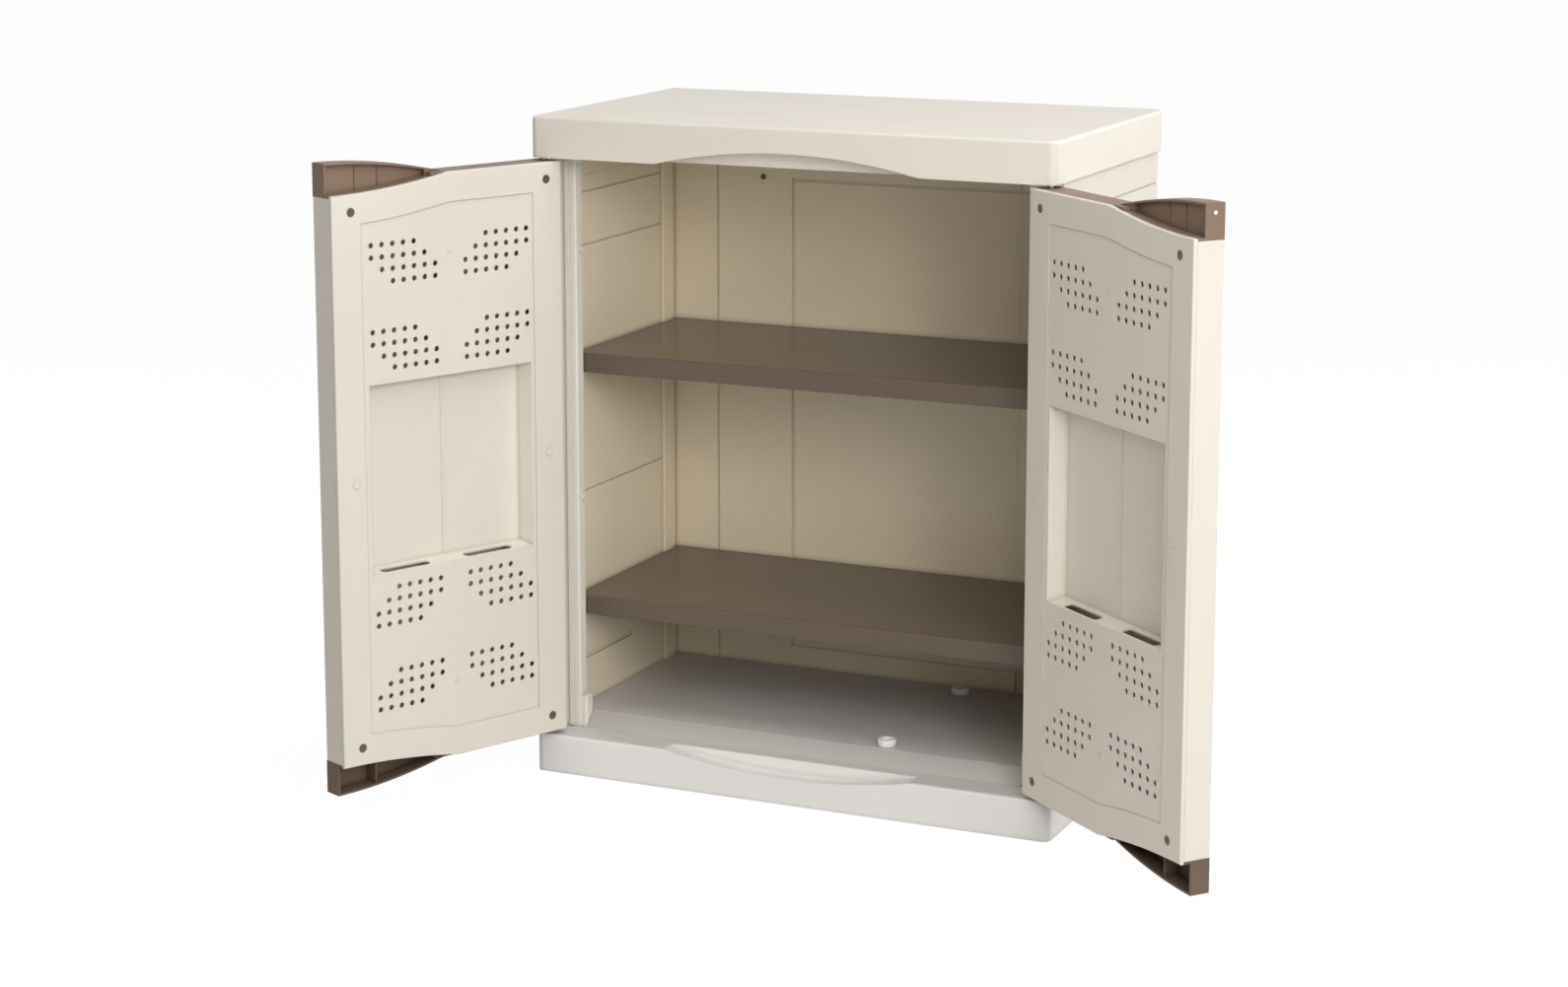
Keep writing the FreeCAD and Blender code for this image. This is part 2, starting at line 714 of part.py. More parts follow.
def inner_panel():
    """Perforated inner panel of a door, with its sunk field and its storage bay."""
    back = door_inner_y - panel_rim_depth
    body = door_slab(back, door_inner_y, 0.0)
    body = round_plane_edges(body, panel_edge_radius, "y", door_inner_y)
    hollow = door_slab(back - 1, door_inner_y - panel_wall, panel_rim_width, panel_rim_width)
    field = door_slab(door_inner_y - field_depth, door_inner_y + 1, field_inset_height, field_inset_hinge,
                      field_inset_free)
    body = less(body, [hollow, field])
    x0 = door_hinge_x + bay_margin
    x1 = door_free_x - bay_margin
    z0 = door_middle - bay_height() / 2
    z1 = door_middle + bay_height() / 2
    bay_back = door_inner_y - bay_depth
    case = tapered_block(x0 - bay_wall, x1 + bay_wall, z0 - bay_wall, z1 + bay_wall,
                         door_inner_y - field_depth, bay_back - bay_wall, bay_draft)
    cavity = tapered_block(x0, x1, z0, z1, door_inner_y, bay_back, bay_draft)
    whole = join([body, case])
    cuts = [cavity]
    middle = (x0 + x1) / 2
    cuts += [ledge_slot(middle + offset) for offset in slot_offsets]
    cuts += [rod_back(x, door_inner_y - panel_wall - 1, door_inner_y + 1, z, vent_radius)
             for x, z in vent_places()]
    for x, z in screw_places():
        cuts.append(rod_back(x, door_inner_y - panel_wall - 1, door_inner_y, z, screw_hole_radius))
        cuts.append(rod_back(x, door_inner_y - screw_sink_depth, door_inner_y, z, screw_sink_radius))
    whole = less(whole, cuts)
    marks = [rod_back(x, door_inner_y - 1, door_inner_y + mark_height, door_middle, mark_radius)
             for x in screw_columns()]
    field_y = door_inner_y - field_depth
    for z in (door_top - gate_drop, door_bottom + gate_drop):
        marks.append(rod_back(middle, field_y - 1, field_y + gate_height, z, gate_radius))
    rib = block(middle - bay_rib_width / 2, middle + bay_rib_width / 2, bay_back - 0.5,
                bay_back + bay_rib_height, z0 + bay_draft, z1 - bay_draft)
    return join([whole, rib] + marks)


def outer_shell():
    """Outer shell of a door, a tray that the end caps and the inner panel close."""
    back = door_inner_y - panel_rim_depth
    body = door_slab(front_y, back, cap_plate)
    body = round_plane_edges(body, shell_edge_radius, "y", front_y)
    hollow = door_slab(front_y + shell_wall, back + 1, 0.0, shell_wall)
    hollow = hollow.fuse(block(door_hinge_x + shell_wall, door_free_x - shell_wall, front_y + shell_wall,
                               back + 1, door_bottom, door_top))
    field = door_slab(front_y - 1, front_y + shell_field_depth, field_inset_height, shell_field_inset,
                      shell_field_inset)
    body = less(body, [hollow, field])
    bosses = []
    pilots = []
    for x, z in screw_places():
        end = door_inner_y - panel_wall
        bosses.append(rod_back(x, front_y + shell_wall - 0.5, end, z, boss_radius))
        pilots.append(rod_back(x, end - pilot_depth, end + 1, z, screw_shank_radius))
    return less(join([body] + bosses), pilots)


def end_cap(pocket_depth, rib_insets, rib_height):
    """Top end cap of a door: plate, collar that plugs the shell, arched hollow lip and pin block."""
    back = door_inner_y - panel_rim_depth
    upper = block(door_hinge_x, door_free_x, front_y - 1, back, door_middle, cabinet_height)
    plate = door_slab(front_y, back, 0.0).cut(door_slab(front_y - 1, back + 1, cap_plate))
    plate = plate.common(upper)
    play = shell_wall + fit_clearance
    collar_face = door_slab(front_y + play, back - fit_clearance, cap_plate, play)
    collar_end = door_slab(front_y, back + 1, cap_plate + cap_collar_depth)
    inside = play + cap_wall
    collar_hole = block(door_hinge_x + inside, door_free_x - inside, front_y + inside,
                        back - fit_clearance - cap_wall, door_bottom, door_top - cap_plate - 0.5)
    collar_hole = collar_hole.cut(arc_segment(eye_half_width, door_top, -eye_dip - cap_plate - 0.5,
                                              front_y, back))
    collar = less(collar_face, [collar_end, collar_hole]).common(upper)
    step_x = door_free_x - cap_step_inset
    filler = arc_segment(eye_half_width, door_top, -eye_dip, front_y, back)
    filler = filler.common(block(door_hinge_x, step_x, front_y, back, door_middle, door_top))
    lip_back = front_y + lip_thickness
    arch = arc_segment(eye_half_width, door_top, lip_rise, front_y, lip_back)
    dip = arc_segment(eye_half_width, door_top, -eye_dip, front_y, lip_back)
    lens = arch.fuse(dip).common(block(door_hinge_x, door_free_x, front_y, lip_back, door_middle,
                                       cabinet_height))
    lens = lens.removeSplitter()
    lowered = lens.translated(Vector(0, 0, -cap_wall))
    pocket_y = lip_back - pocket_depth
    pocket = lens.common(lowered).common(block(step_x + cap_wall, door_free_x - cap_wall, pocket_y,
                                               lip_back + 1, door_middle, cabinet_height))
    ribs = []
    for inset in rib_insets:
        x = door_free_x - inset
        ribs.append(block(x - cap_rib_thickness / 2, x + cap_rib_thickness / 2, front_y,
                          pocket_y + rib_height, door_middle, cabinet_height))
    pocket = less(pocket, ribs)
    low = door_top - cap_plate - pin_in_cap
    pin_block = block(door_hinge_x + play, pin_x + pin_block_half, pin_y - pin_block_half,
                      pin_y + pin_block_half, low, door_top - 0.5)
    whole = join([plate, collar, filler, lens.cut(pocket), pin_block])
    pin_hole = rod(pin_x, pin_y, door_top - pin_in_cap, door_top + 1, pin_radius)
    return whole.cut(pin_hole)


def upper_pin():
    """Upper hinge pin, fixed in the top cap and free in the roof's socket."""
    return rod(pin_x, pin_y, door_top - pin_in_cap, apron_bottom + pin_in_socket, pin_radius)


def lower_pin():
    """Lower hinge pin with the collar that carries the door on the plinth."""
    shaft = rod(pin_x, pin_y, plinth_height - pin_in_socket, door_bottom + pin_in_cap, pin_radius)
    collar = rod(pin_x, pin_y, plinth_height + fit_clearance, door_bottom, pin_collar_radius)
    return join([shaft, collar])


def door_screws():
    """Four screws that hold a door's inner panel to its shell."""
    screws = []
    for x, z in screw_places():
        seat = door_inner_y - screw_sink_depth
        head = rod_back(x, seat, seat + screw_head_height, z, screw_head_radius)
        shank = rod_back(x, seat - screw_length, seat, z, screw_shank_radius)
        screws.append(join([head, shank]))
    return Part.makeCompound(screws)


def bumper_places():
    """Centre line of the bumper in the closed left door, before it is mirrored."""
    return front_y + lip_thickness / 2, door_top + bumper_above_door


def bumper():
    """Small round bumper in the end of a top cap, where the doors meet."""
    y, z = bumper_places()
    return rod_right(door_free_x - bumper_stem, door_free_x + bumper_proud, y, z, bumper_radius)


def bumper_hole():
    """Hole that the bumper is pushed into."""
    y, z = bumper_places()
    return rod_right(door_free_x - bumper_stem, door_free_x + 1, y, z, bumper_radius)


def swing(shape, side):
    """Turn a closed door piece about its hinge to where the door stands open."""
    turned = shape.copy()
    if side == "left":
        turned.rotate(Vector(pin_x, pin_y, 0), UP, -left_open_angle)
        return turned
    turned = mirrored(turned)
    turned.rotate(Vector(-pin_x, pin_y, 0), UP, right_open_angle)
    return turned


def cabinet_pieces():
    """Every piece of the fixed cabinet, by name."""
    left_wall = left_side_wall()
    return {
        "base": base(),
        "roof": roof(),
        "left_side_wall": left_wall,
        "right_side_wall": mirrored(left_wall),
        "back_panel": back_panel(),
        "back_panel_screws": back_panel_screws(),
        "upper_shelf": shelf(upper_shelf_top),
        "lower_shelf": shelf(lower_shelf_top),
        "upper_shelf_pegs": shelf_pegs(upper_shelf_top),
        "lower_shelf_pegs": shelf_pegs(lower_shelf_top),
        "floor_studs": floor_studs(),
    }


def door_pieces():
    """Every piece of both doors at their open rest angles, by name."""
    closed = {
        "outer_shell": outer_shell(),
        "inner_panel": inner_panel(),
        "top_cap": end_cap(top_pocket_depth, top_rib_insets, top_rib_height),
        "bottom_cap": upside_down(end_cap(bottom_pocket_depth, bottom_rib_insets, bottom_rib_height)),
        "upper_hinge_pin": upper_pin(),
        "lower_hinge_pin": lower_pin(),
        "screws": door_screws(),
    }
    pieces = {}
    for name, shape in closed.items():
        pieces["left_door_" + name] = swing(shape, "left")
        if name == "top_cap":
            shape = shape.cut(bumper_hole())
        pieces["right_door_" + name] = swing(shape, "right")
    pieces["right_door_bumper"] = swing(bumper(), "right")
    return pieces


def main():
    """Write one STEP file for each piece."""
    os.makedirs("parts", exist_ok=True)
    pieces = cabinet_pieces()
    pieces.update(door_pieces())
    for name, shape in pieces.items():
        shape.exportStep("parts/" + name + ".step")
        solids = len(shape.Solids)
        print(name, "solids", solids, "volume", round(shape.Volume), "valid", shape.isValid())


main()
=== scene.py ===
import logging
import math
from dataclasses import dataclass
from enum import Enum
from typing import Iterable, Sequence

import bpy
from mathutils import Matrix, Vector


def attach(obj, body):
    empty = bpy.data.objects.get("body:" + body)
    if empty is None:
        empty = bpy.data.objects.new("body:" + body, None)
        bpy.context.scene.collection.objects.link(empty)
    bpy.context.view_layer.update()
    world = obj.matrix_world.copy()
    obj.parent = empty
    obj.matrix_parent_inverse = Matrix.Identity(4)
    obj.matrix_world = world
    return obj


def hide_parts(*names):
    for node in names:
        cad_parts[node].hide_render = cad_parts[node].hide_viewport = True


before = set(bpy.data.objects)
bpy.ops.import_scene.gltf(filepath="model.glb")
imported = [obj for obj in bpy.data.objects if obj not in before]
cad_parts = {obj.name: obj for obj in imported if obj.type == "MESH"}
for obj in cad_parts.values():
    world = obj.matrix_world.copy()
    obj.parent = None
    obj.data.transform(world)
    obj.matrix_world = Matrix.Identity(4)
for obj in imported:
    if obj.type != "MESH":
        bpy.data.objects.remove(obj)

LOG = logging.getLogger("garden_cabinet")
MM = 0.001

Colour = tuple[float, float, float]
Point = tuple[float, float, float]
Range = tuple[float, float]
Socket = bpy.types.NodeSocket


class Side(Enum):
    """A side of the cabinet, with the sign of its place along X."""

    LEFT = -1
    RIGHT = 1

    @property
    def word(self) -> str:
        """The word that the nodes of this side start with."""
        return self.name.lower()


class Facing(Enum):
    """The way that a level face looks, with the sign of its normal along Z."""

    UP = 1
    DOWN = -1


class LampColour(Enum):
    """Colours of the soft lamps."""

    PLAIN = (1.0, 1.0, 1.0)
    WARM = (1.0, 0.945, 0.83)
    COOL = (0.97, 0.985, 1.0)


@dataclass(frozen=True)
class Pattern:
    """A noise pattern on a surface.

    Attributes:
        cells: Cells of the pattern per metre.
        detail: Number of finer layers in it.
        relief: How much of it shows as relief, 0 to 1.
        roughness: Strength of each finer layer, as a share of the one before.
    """

    cells: float
    detail: float
    relief: float = 0.0
    roughness: float = 0.55


class Layer(Enum):
    """The layers of pattern that the finishes are made of, coarse to fine."""

    CLOUD = Pattern(7.0, 3.0)
    RIPPLE = Pattern(34.0, 1.0, 0.5)
    PORES = Pattern(900.0, 2.0, 0.35)
    SPECKS = Pattern(1400.0, 3.0)
    STIPPLE = Pattern(2600.0, 1.0, 0.5)
    TURNING = Pattern(5200.0, 1.0, 0.3)


class NodeSheet:
    """The node tree of a material or world, with short calls that add, set and link nodes."""

    def __init__(self, owner: bpy.types.Material | bpy.types.World) -> None:
        """Start an empty node tree.

        Args:
            owner: The new material or world.
        """
        owner.use_nodes = True
        self.owner = owner
        self.tree = owner.node_tree
        self.tree.nodes.clear()
        kind = "World" if isinstance(owner, bpy.types.World) else "Material"
        self.output = self.add("ShaderNodeOutput" + kind)

    def add(self, kind: str, **values: object) -> bpy.types.Node:
        """Add a node and set its options and input values.

        Args:
            kind: Blender's identifier of the node.
            **values: Options of the node, or values of the inputs with that name.

        Returns:
            The new node.
        """
        node = self.tree.nodes.new(kind)
        for key, value in values.items():
            if hasattr(node, key):
                setattr(node, key, value)
            else:
                socket = next(s for s in node.inputs if s.name.lower() == key.replace("_", " "))
                socket.default_value = value
        return node

    def link(self, source: Socket, target: Socket) -> None:
        """Link two sockets.

        Args:
            source: Output socket.
            target: Input socket.
        """
        self.tree.links.new(source, target)

    def feed(self, target: Socket, value: Socket | Colour | float) -> None:
        """Link a value to an input, or set it there when it is a plain colour or number.

        Args:
            target: Input socket.
            value: Output socket, colour or number.
        """
        if isinstance(value, Socket):
            self.link(value, target)
        else:
            target.default_value = (*value, 1.0) if isinstance(value, tuple) else value

    def show(self, shader: Socket) -> None:
        """Make a shader the look of the surface or the world.

        Args:
            shader: The shader.
        """
        self.link(shader, self.output.inputs["Surface"])

    def noise(self, place: Socket, layer: Layer) -> Socket:
        """Add a layer of noise.

        Args:
            place: Coordinates that the pattern follows.
            layer: The layer to add.

        Returns:
            The pattern's value, about 0 to 1.
        """
        pattern = layer.value
        node = self.add("ShaderNodeTexNoise", scale=pattern.cells, detail=pattern.detail,
                        roughness=pattern.roughness)
        self.link(place, node.inputs["Vector"])
        return node.outputs["Fac"]

    def spread(self, value: Socket, old: Range, new: Range) -> Socket:
        """Map a value's range to another.

        Args:
            value: Value to map.
            old: Start and end of its range.
            new: The values given there.

        Returns:
            The mapped value, kept inside the new range.
        """
        node = self.add("ShaderNodeMapRange", from_min=old[0], from_max=old[1], to_min=new[0], to_max=new[1])
        self.link(value, node.inputs["Value"])
        return node.outputs["Result"]

    def reckon(self, operation: str, *values: Socket) -> Socket:
        """Work out one value from one or two others.

        Args:
            operation: Blender's name of the operation.
            *values: The values.

        Returns:
            The result.
        """
        node = self.add("ShaderNodeMath", operation=operation)
        for value, target in zip(values, node.inputs):
            self.link(value, target)
        return node.outputs[0]

    def axes(self, vector: Socket) -> tuple[Socket, ...]:
        """Split a vector.

        Args:
            vector: The vector.

        Returns:
            Its parts along X, Y and Z.
        """
        node = self.add("ShaderNodeSeparateXYZ")
        self.link(vector, node.inputs[0])
        return tuple(node.outputs)

    def blend(self, share: Socket, first: Socket | Colour, second: Socket | Colour) -> Socket:
        """Mix two colours.

        Args:
            share: How much of the second colour shows.
            first: The first colour.
            second: The second colour.

        Returns:
            The mixed colour.
        """
        node = self.add("ShaderNodeMix", data_type="RGBA")
        sockets = {socket.identifier: socket for socket in (*node.inputs, *node.outputs)}
        self.link(share, sockets["Factor_Float"])
        self.feed(sockets["A_Color"], first)
        self.feed(sockets["B_Color"], second)
        return sockets["Result_Color"]

    def bump(self, height: Socket, layer: Layer, depth: float, base: Socket | None = None) -> Socket:
        """Raise a surface by a pattern.

        Args:
            height: The pattern.
            layer: The layer that it belongs to.
            depth: Height of the pattern in metres.
            base: Normal that the pattern is added to.

        Returns:
            The new normal.
        """
        node = self.add("ShaderNodeBump", strength=layer.value.relief, distance=depth)
        self.link(height, node.inputs["Height"])
        if base is not None:
            self.link(base, node.inputs["Normal"])
        return node.outputs["Normal"]

    def finish(self, tint: Socket, rough: Socket | float, normal: Socket, **values: float) -> None:
        """Give the material its shader.

        Args:
            tint: Colour of the surface.
            rough: Roughness of the surface.
            normal: Normal of the surface.
            **values: Values of the shader's other inputs.
        """
        shader = self.add("ShaderNodeBsdfPrincipled", **values)
        self.link(tint, shader.inputs["Base Color"])
        self.feed(shader.inputs["Roughness"], rough)
        self.link(normal, shader.inputs["Normal"])
        self.show(shader.outputs["BSDF"])

    def background_rays(self) -> Socket:
        """Tell the rays of the camera, of reflections and of glass from those that light the object.

        Returns:
            1 for a ray of the first kind and 0 for the others.
        """
        path = self.add("ShaderNodeLightPath")
        seen = path.outputs["Is Camera Ray"]
        for ray in ("Is Glossy Ray", "Is Transmission Ray"):
            seen = self.reckon("MAXIMUM", seen, path.outputs[ray])
        return seen


@dataclass(frozen=True)
class OuterSkin:
    """Colours of the faces of a wall that aren't inside the cabinet, which don't take the inside's painted
    warm shade.

    Attributes:
        colour: Colour of the faces that look out to the sides and the rear.
        front_colour: Colour of the posts beside the doorway, paler than the resin as painted light.
        across: Distance from the middle beyond which faces are outer ones, in metres.
        rear: Depth beyond which faces are outer ones, in metres.
        front: Depth in front of which faces belong to the posts, in metres.
        fade: Width over which one colour turns into the other, in metres.
    """

    colour: Colour
    front_colour: Colour
    across: float = 0.332
    rear: float = 0.160
    front: float = -0.139
    fade: float = 0.0005

    def over(self, sheet: NodeSheet, tint: Socket, place: Socket) -> Socket:
        """Give the outer faces a plainer cream without the inside's painted warm shade, and the posts their
        painted light.

        Args:
            sheet: The material's node tree.
            tint: Colour of the faces inside.
            place: Coordinates of the surface.

        Returns:
            The colour of all of them.
        """
        x, y, _ = sheet.axes(place)
        # Painted light: the posts beside the doorway get a paler cream than the resin.
        post = sheet.spread(y, (self.front, self.front + self.fade), (1.0, 0.0))
        tint = sheet.blend(post, tint, self.front_colour)
        beside = sheet.spread(sheet.reckon("ABSOLUTE", x), (self.across, self.across + self.fade), (0.0, 1.0))
        behind = sheet.spread(y, (self.rear, self.rear + self.fade), (0.0, 1.0))
        return sheet.blend(sheet.reckon("MAXIMUM", beside, behind), tint, self.colour)


@dataclass(frozen=True)
class PaintedFloorShade:
    """Painted shade on the level and sloping faces of a piece, except undersides, darker towards the floor's
    height.

    Attributes:
        height: Height above which faces carry the painted shade, in metres.
        share: How much the painted shade covers a level face at that height.
        floor: Height of the highest level face, in metres.
        floor_share: How much the painted shade covers it.
        slope_share: How much more the painted shade covers a slope.
        colour: Colour of the painted shade.
        fade: Height over which the painted shade sets in, in metres.
        slope_start: Upward parts of the normal between which the slope's painted shade sets in.
        slope_end: Upward parts of the normal between which it leaves off.
        underside: Upward parts of the normal between which undersides end.
    """

    height: float
    share: float
    floor: float = 0.068
    floor_share: float = 0.5
    slope_share: float = 0.30
    colour: Colour = (0.34, 0.325, 0.30)
    fade: float = 0.0008
    slope_start: Range = (0.3, 0.6)
    slope_end: Range = (0.78, 0.97)
    underside: Range = (-0.5, -0.1)

    def over(self, sheet: NodeSheet, tint: Socket, place: Socket) -> Socket:
        """Lay the painted shade on a colour.

        Args:
            sheet: The material's node tree.
            tint: Colour of the surface without the painted shade.
            place: Coordinates of the surface.

        Returns:
            The dusty colour.
        """
        height = sheet.axes(place)[2]
        upward = sheet.axes(sheet.add("ShaderNodeNewGeometry").outputs["Normal"])[2]
        above = sheet.spread(height, (self.height - self.fade, self.height), (0.0, 1.0))
        level = sheet.spread(height, (self.height, self.floor), (self.share, self.floor_share))
        slope = sheet.reckon("MULTIPLY", sheet.spread(upward, self.slope_start, (0.0, 1.0)),
                             sheet.spread(upward, self.slope_end, (self.slope_share, 0.0)))
        lying = sheet.reckon("MULTIPLY", above, sheet.spread(upward, self.underside, (0.0, 1.0)))
        painted_shade = sheet.reckon("MULTIPLY", sheet.reckon("ADD", level, slope), lying)
        return sheet.blend(painted_shade, tint, self.colour)


@dataclass(frozen=True)
class MouldedResin:
    """Injection moulded resin: stippled skin, cloudy colour, rubbed edges with a painted edge highlight, and
    painted shade in its crevices.

    Attributes:
        name: Name of the finish.
        colour: Colour of the resin.
        cloud_colour: Colour of its cloudy patches.
        roughness: Roughness of the clean skin.
        grain: Height of the stipple, in metres.
        wave: Height of the long ripples left by cooling, in metres.
        edge_round: Radius of the softened edges, in metres.
        edge_colour: Colour of the edges, partly rubbed skin and partly painted light: lighter than the resin
            as a painted highlight, or darker to tone down the light on the rounded edges.
        crevice: Strength of the painted shade in grooves, holes and inner corners, 0 to 1.
        sheen_ior: Index of refraction of the skin.
        drift: How much the roughness drifts across the skin.
        fleck: How much the pores darken the skin.
        skin: Other colours of the faces outside, if they differ.
        floor_shade: Painted shade on its floor, ledge and slopes, if any.
        cloud_span: Values of the pattern between which the cloudy patches set in.
        edge_span: Turns of the softened edge, as a cosine, between which the rubbing and the painted
            highlight leave off.
        edge_share: How much of the edge colour, rubbed skin and painted highlight, an edge shows.
        crevice_reach: Distance within which a nearby face brings on the painted crevice shade, in metres.
        crevice_span: Openness between which the painted crevice shade leaves off.
        crevice_tone: Brightness of the painted crevice shade, as a share of the resin's.
        fleck_span: Values of the pattern between which the pores set in.
        fleck_tone: Brightness of a pore, as a share of the resin's.
        drift_span: Values of the pattern between which the roughness drifts.
        pore_depth: Depth of the pores, as a multiple of the stipple's height.
        samples: Rays that look for nearby edges and crevices at each point.
    """

    name: str
    colour: Colour
    cloud_colour: Colour
    roughness: float
    grain: float
    wave: float
    edge_round: float
    edge_colour: Colour
    crevice: float = 0.40
    sheen_ior: float = 1.46
    drift: float = 0.05
    fleck: float = 0.10
    skin: OuterSkin | None = None
    floor_shade: PaintedFloorShade | None = None
    cloud_span: Range = (0.35, 0.68)
    edge_span: Range = (0.80, 0.985)
    edge_share: float = 0.28
    crevice_reach: float = 0.007
    crevice_span: Range = (0.35, 0.92)
    crevice_tone: float = 0.16
    fleck_span: Range = (0.62, 0.80)
    fleck_tone: float = 0.72
    drift_span: Range = (0.3, 0.7)
    pore_depth: float = 1.6
    samples: int = 4

    def material(self) -> bpy.types.Material:
        """Build the finish as a material.

        Returns:
            The material.
        """
        sheet = NodeSheet(bpy.data.materials.new(self.name))
        place = sheet.add("ShaderNodeTexCoord").outputs["Object"]
        soft = sheet.add("ShaderNodeBevel", samples=self.samples, radius=self.edge_round).outputs["Normal"]
        ripple = sheet.noise(place, Layer.RIPPLE)
        pores = sheet.noise(place, Layer.PORES)
        tint = self.tinted(sheet, place, soft, pores)
        normal = sheet.bump(ripple, Layer.RIPPLE, self.wave, soft)
        if self.grain:
            normal = sheet.bump(pores, Layer.PORES, self.grain * self.pore_depth, normal)
            normal = sheet.bump(sheet.noise(place, Layer.STIPPLE), Layer.STIPPLE, self.grain, normal)
        rough = self.roughness
        if self.drift:
            rough = sheet.spread(ripple, self.drift_span, (rough - self.drift, rough + self.drift))
        sheet.finish(tint, rough, normal, ior=self.sheen_ior)
        return sheet.owner

    def tinted(self, sheet: NodeSheet, place: Socket, soft: Socket, pores: Socket) -> Socket:
        """Work out the colour of the skin, from the clouds up to the pores.

        Args:
            sheet: The material's node tree.
            place: Coordinates of the surface.
            soft: Normal of the softened edges.
            pores: Pattern of the pores.

        Returns:
            The colour.
        """
        clouds = sheet.spread(sheet.noise(place, Layer.CLOUD), self.cloud_span, (0.0, 1.0))
        tint = sheet.blend(clouds, self.colour, self.cloud_colour)
        if self.skin is not None:
            tint = self.skin.over(sheet, tint, place)
        # Rubbed edges and painted edge highlight: the edge colour shows where the softened normal turns away.
        turn = sheet.add("ShaderNodeVectorMath", operation="DOT_PRODUCT")
        sheet.link(soft, turn.inputs[0])
        sheet.link(sheet.add("ShaderNodeNewGeometry").outputs["Normal"], turn.inputs[1])
        edge_rub_and_highlight = sheet.spread(turn.outputs["Value"], self.edge_span, (self.edge_share, 0.0))
        tint = sheet.blend(edge_rub_and_highlight, tint, self.edge_colour)
        if self.crevice:
            # Painted shade: ambient occlusion darkens grooves, holes and inner corners.
            near = sheet.add("ShaderNodeAmbientOcclusion", samples=self.samples, distance=self.crevice_reach)
            painted_crevice_shade = sheet.spread(near.outputs["AO"], self.crevice_span, (self.crevice, 0.0))
            tint = sheet.blend(painted_crevice_shade, tint, self.dimmed(self.crevice_tone))
        # Painted shade on the base's floor, ledge and slopes, darker towards the floor's height.
        if self.floor_shade is not None:
            tint = self.floor_shade.over(sheet, tint, place)
        if self.fleck:
            fleck = sheet.spread(pores, self.fleck_span, (0.0, self.fleck))
            tint = sheet.blend(fleck, tint, self.dimmed(self.fleck_tone))
        return tint

    def dimmed(self, tone: float) -> Colour:
        """The resin's colour at another brightness."""
        return tuple(tone * part for part in self.colour)


@dataclass(frozen=True)
class CoatedSteel:
    """Steel of the screws and pins, with fine turning marks.

    Attributes:
        name: Name of the finish.
        colour: Colour of the steel or its coat.
        worn_colour: Colour where the coat is rubbed.
        roughness: Roughness of the surface.
        metal: Share of metal shine, 0 to 1.
        worn_span: Values of the pattern between which the rubbed places set in.
        worn_share: How much of the rubbed colour they show.
        drift_span: Values of the pattern between which the roughness drifts.
        drift: How far it drifts down and up.
        mark_depth: Depth of the turning marks, in metres.
    """

    name: str
    colour: Colour
    worn_colour: Colour
    roughness: float
    metal: float
    worn_span: Range = (0.55, 0.75)
    worn_share: float = 0.8
    drift_span: Range = (0.3, 0.7)
    drift: Range = (0.08, 0.10)
    mark_depth: float = 0.00004

    def material(self) -> bpy.types.Material:
        """Build the finish as a material.

        Returns:
            The material.
        """
        sheet = NodeSheet(bpy.data.materials.new(self.name))
        place = sheet.add("ShaderNodeTexCoord").outputs["Object"]
        specks = sheet.noise(place, Layer.SPECKS)
        worn = sheet.spread(specks, self.worn_span, (0.0, self.worn_share))
        tint = sheet.blend(worn, self.colour, self.worn_colour)
        down, up = self.drift
        rough = sheet.spread(specks, self.drift_span, (self.roughness - down, self.roughness + up))
        normal = sheet.bump(sheet.noise(place, Layer.TURNING), Layer.TURNING, self.mark_depth)
        sheet.finish(tint, rough, normal, metallic=self.metal)
        return sheet.owner


